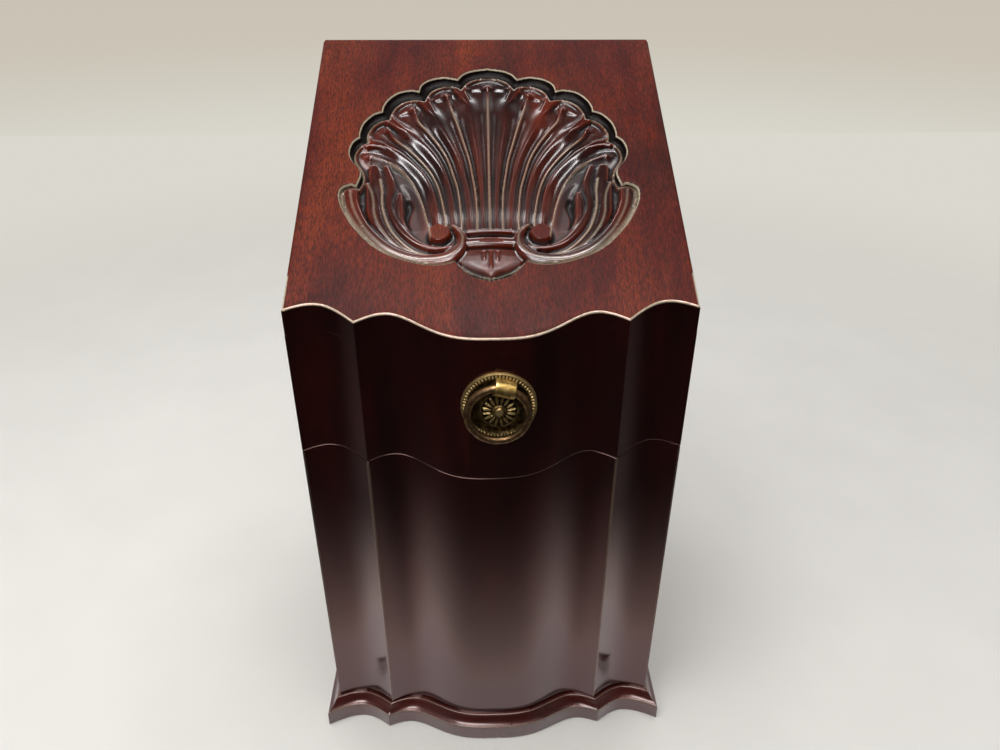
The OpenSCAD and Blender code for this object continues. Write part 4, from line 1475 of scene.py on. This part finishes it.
@dataclass
class Studio:
    """A pale floor, the lamps, and the camera at the height of someone standing over the box."""

    camera_at: tuple[float, float, float] = (-5.5, -430.4, 470.3)
    pitch: float = math.radians(30.74)
    yaw: float = 0.0274
    roll: float = 0.0028
    lens: float = 28.26
    floor_half: float = 1500.0
    floor_z: float = -0.05
    card_tone_mm: float = 250 / 3
    horizon: str = "dad8ce"
    lamps: tuple[Lamp, ...] = (
        Lamp("back_light", (0, 800, 850), (0, 0, 300), (1000, 220), 4.0),
        Lamp("top_strip", (0, -60, 1250), (0, 0, 300), (700, 110), 8.0),
        Lamp("front_strip", (0, -420, 1200), (0, 0, 300), (600, 120), 5.0),
        Lamp("left_haze", (-300, -80, 1300), (-80, -60, 310), (320, 320), 1.3),
        Lamp("front_window", (-250, -900, 1150), (0, -50, 290), (520, 380), 5.0),
        Lamp("overhead", (0, -120, 2500), (0, 0, 200), (2000, 2000), 44.0, mirrored=False),
        Lamp("window", (-520, -420, 1050), (0, 0, 250), (900, 900), 5.2, mirrored=False))

    def camera(self) -> None:
        """Makes the camera."""
        data = bpy.data.cameras.new("camera")
        data.lens, data.sensor_width = self.lens, 36.0
        data.clip_start = 0.01
        ahead = Vector((math.sin(self.yaw) * math.cos(self.pitch),
                        math.cos(self.yaw) * math.cos(self.pitch), -math.sin(self.pitch)))
        camera = bpy.data.objects.new("camera", data)
        bpy.context.scene.collection.objects.link(camera)
        turned = ahead.to_track_quat("-Z", "Y").to_matrix().to_4x4()
        camera.matrix_world = (Matrix.Translation(Vector(self.camera_at) * MM) @ turned
                               @ Matrix.Rotation(self.roll, 4, "Z"))
        bpy.context.scene.camera = camera

    def floor(self) -> None:
        """Makes the floor: pale card, which the polish mirrors only close by."""
        side = np.linspace(-self.floor_half, self.floor_half, 9)
        x, y = np.meshgrid(side, side)
        floor = grid("floor", np.stack([x, y, np.full(x.shape, self.floor_z)], axis=2))
        material, tree, place = start("pale_card")
        across, along = (add(tree, "SeparateXYZ", {"Vector": place}, axis) for axis in "XY")
        polish, camera = (add(tree, "LightPath", {}, ray)
                          for ray in ("Is Glossy Ray", "Is Camera Ray"))
        tone = add(tree, "TexNoise", {"Vector": place, "Scale": 1 / (self.card_tone_mm * MM),
                                      "Detail": 2.0})
        card = add(tree, "ValToRGB", {"Fac": tone}, stops=[(0.3, "e7e4de"), (0.7, "ebe8e2")])
        # What the polish sees of the floor is brightest beside the plinth and dark farther off
        ahead = add(tree, "MapRange", {"Value": along, "From Min": -0.38, "From Max": -0.11})
        ahead = add(tree, "Math", {0: ahead, 1: 3.6}, operation="POWER")
        ahead = add(tree, "Math", {0: ahead, 1: 1.9}, operation="MULTIPLY")
        aside = add(tree, "Math", {0: across}, operation="ABSOLUTE")
        aside = add(tree, "MapRange", {"Value": aside, "From Min": 0.08, "From Max": 0.3,
                                       "To Min": 1.0, "To Max": 0.06},
                    interpolation_type="SMOOTHSTEP")
        lit = add(tree, "Math", {0: ahead, 1: aside}, operation="MULTIPLY")
        level = add(tree, "CombineColor", {0: lit, 1: lit, 2: lit})
        dimmed = add(tree, "Mix", {0: 1.0, 6: card, 7: level}, 2, **TIMES)
        finish(tree, card, [(OVER, polish, dimmed)], [], Roughness=0.75)
        # Far off, the camera sees the floor melt into the pale surroundings
        away = add(tree, "VectorMath", {0: place}, "Value", operation="LENGTH")
        away = add(tree, "MapRange", {"Value": away, "From Min": 0.45, "From Max": 1.3},
                   interpolation_type="SMOOTHSTEP")
        seen = add(tree, "Math", {0: away, 1: camera}, operation="MULTIPLY")
        glow = add(tree, "Emission", {"Color": linear(self.horizon), "Strength": 1.0})
        both = add(tree, "MixShader", {0: seen, 1: tree.nodes["Principled BSDF"].outputs[0],
                                       2: glow})
        tree.links.new(both, tree.nodes["Material Output"].inputs["Surface"])
        floor.data.materials.append(material)

    def world(self) -> None:
        """Makes the surroundings: even pale light, with a bright wall behind and a dark room."""
        world = bpy.data.worlds.new("tent")
        bpy.context.scene.world = world
        world.use_nodes = True
        tree = world.node_tree
        way = add(tree, "TexCoord", {}, "Generated")
        x, y, z = (add(tree, "SeparateXYZ", {"Vector": way}, axis) for axis in "XYZ")
        y = add(tree, "Math", {0: y, 1: 0.5, 2: 0.5}, operation="MULTIPLY_ADD")
        x = add(tree, "Math", {0: x}, operation="ABSOLUTE")
        higher = add(tree, "Math", {0: z, 1: 0.5}, operation="ADD")
        back, side, ceiling, seen = (
            add(tree, "ValToRGB", {"Fac": source}, stops=stops) for source, stops in (
                (y, [(0.35, 0.01), (0.62, 0.2), (0.8, 0.6)]),
                (x, [(0.3, 0.0), (0.95, 0.16)]),
                (z, [(0.72, 1.0), (0.88, 0.3), (0.96, 0.3), (0.99, 0.6)]),
                (higher, [(0.263, self.horizon), (0.37, "cbc4b7"), (0.8, "bfb8aa")])))
        walls = add(tree, "Mix", {0: 1.0, 6: back, 7: side}, 2,
                    **{**OVER, "blend_type": "LIGHTEN"})
        tent = add(tree, "Mix", {0: 1.0, 6: walls, 7: ceiling}, 2, **TIMES)
        shown = add(tree, "Mix", {0: add(tree, "LightPath", {}, "Is Camera Ray"), 6: tent,
                                  7: seen}, 2, **OVER)
        tree.links.new(shown, tree.nodes["Background"].inputs["Color"])

    def build(self) -> None:
        """Makes everything that isn't the box."""
        self.camera()
        self.floor()
        self.world()
        for lamp in self.lamps:
            lamp.build()
        bpy.context.scene.view_settings.view_transform = "Standard"


# ---------------------------------------------------------------- assembly


def dress_frame_nodes(finishes: dict[str, Material]) -> None:
    """Gives each CAD node that stays its finish.

    Args:
        finishes: materials by the start of the node's name.
    """
    for name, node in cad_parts.items():
        if node.hide_render:
            continue
        key = next((k for k in finishes if name.startswith(k)), None)
        if key is None:
            log.warning("no finish for %s", name)
            continue
        node.data.materials.clear()
        node.data.materials.append(finishes[key])


def main() -> None:
    """Builds the stage and every piece in order."""
    logging.basicConfig(level=logging.INFO, format="%(name)s %(message)s")
    Studio().build()
    top, shell, border, front, moulding, side, rack = (one.make() for one in (
        PolishedMahogany("mahogany_lid_top", Board.LID_TOP, "3c0b03", "581203", "782a08", 0.45,
                         roughness=0.42, specular=0.09, fleck=0.85),
        # A darker copy of the lid's mahogany for the shell: its darker ground is partly painted
        # shade.
        PolishedMahogany("mahogany_carved_shaded", Board.LID_TOP, "180502", "320b05", "702308", 0.6,
                         roughness=0.19, specular=0.42, coat=0.1, pore_depth=0.006),
        # A near-black copy of the mahogany for the sunk border: painted shade in the cove.
        PolishedMahogany("mahogany_border_shaded", Board.LID_TOP, "080302", "100403", "1e0905", 0.2,
                         roughness=0.24, specular=0.06, pore_depth=0.01),
        # A much darker copy of the mahogany for the front boards: its near-black ground is partly
        # painted shade.
        PolishedMahogany("mahogany_front_shaded", Board.UPRIGHT, "100101", "1e0202", "300604", 0.2,
                         roughness=0.115, specular=0.8, coat=0.7, pore_depth=0.001,
                         tint="ff9c90"),
        PolishedMahogany("mahogany_plinth", Board.ACROSS, "2c0605", "3e0c08", "56160e", 0.3,
                         roughness=0.3, specular=0.9, coat=0.75, pore_depth=0.001,
                         tint="ffd8d2"),
        PolishedMahogany("mahogany_side", Board.UPRIGHT, "260503", "3a0a06", "50140b", 0.4,
                         roughness=0.24, coat=0.3, pore_depth=0.006, tint="ffb4a8"),
        PolishedMahogany("mahogany_rack", Board.ACROSS, "3a1713", "5a261b", "7a3a24", 0.4,
                         roughness=0.42)))
    pine = BareWood("aged_pine", "b98a58", "7d5430", line_mm=2.4, roughness=0.7).make()
    boxwood = BareWood("boxwood_line", "d3ac6c", "a87c42", line_mm=1.2, roughness=0.45).make()
    baize = WornBaize().make()
    bronze, ring, strap, hinge = (one.make() for one in (
        AgedBrass("dark_cast_brass", "453b27", "96794a", "e6c88a", 0.48, rubbed=0.95),
        AgedBrass("ring_brass", "4e3a2a", "7c5e40", "b8946a", 0.4),
        AgedBrass("strap_brass", "7e6434", "b09256", "e8cf96", 0.42, rubbed=0.8),
        AgedBrass("hinge_brass", "5a4a28", "8a7240", "c4a868", 0.38)))
    LidTop().build(top, shell, border, front, side)
    BoxWalls().build(front, side)
    Plinth().build(moulding)
    pull = RingPull()
    pull.build_plate(bronze)
    pull.build_ring(ring)
    pull.build_strap(strap)
    Linings().build(baize)
    dress_frame_nodes({"bottom_board": pine, "glue_blocks": pine, "rack_ledge": pine,
                       "rack_": rack, "slot_stringing": boxwood, "hinge_": hinge})


if __name__ == "__main__":
    main()
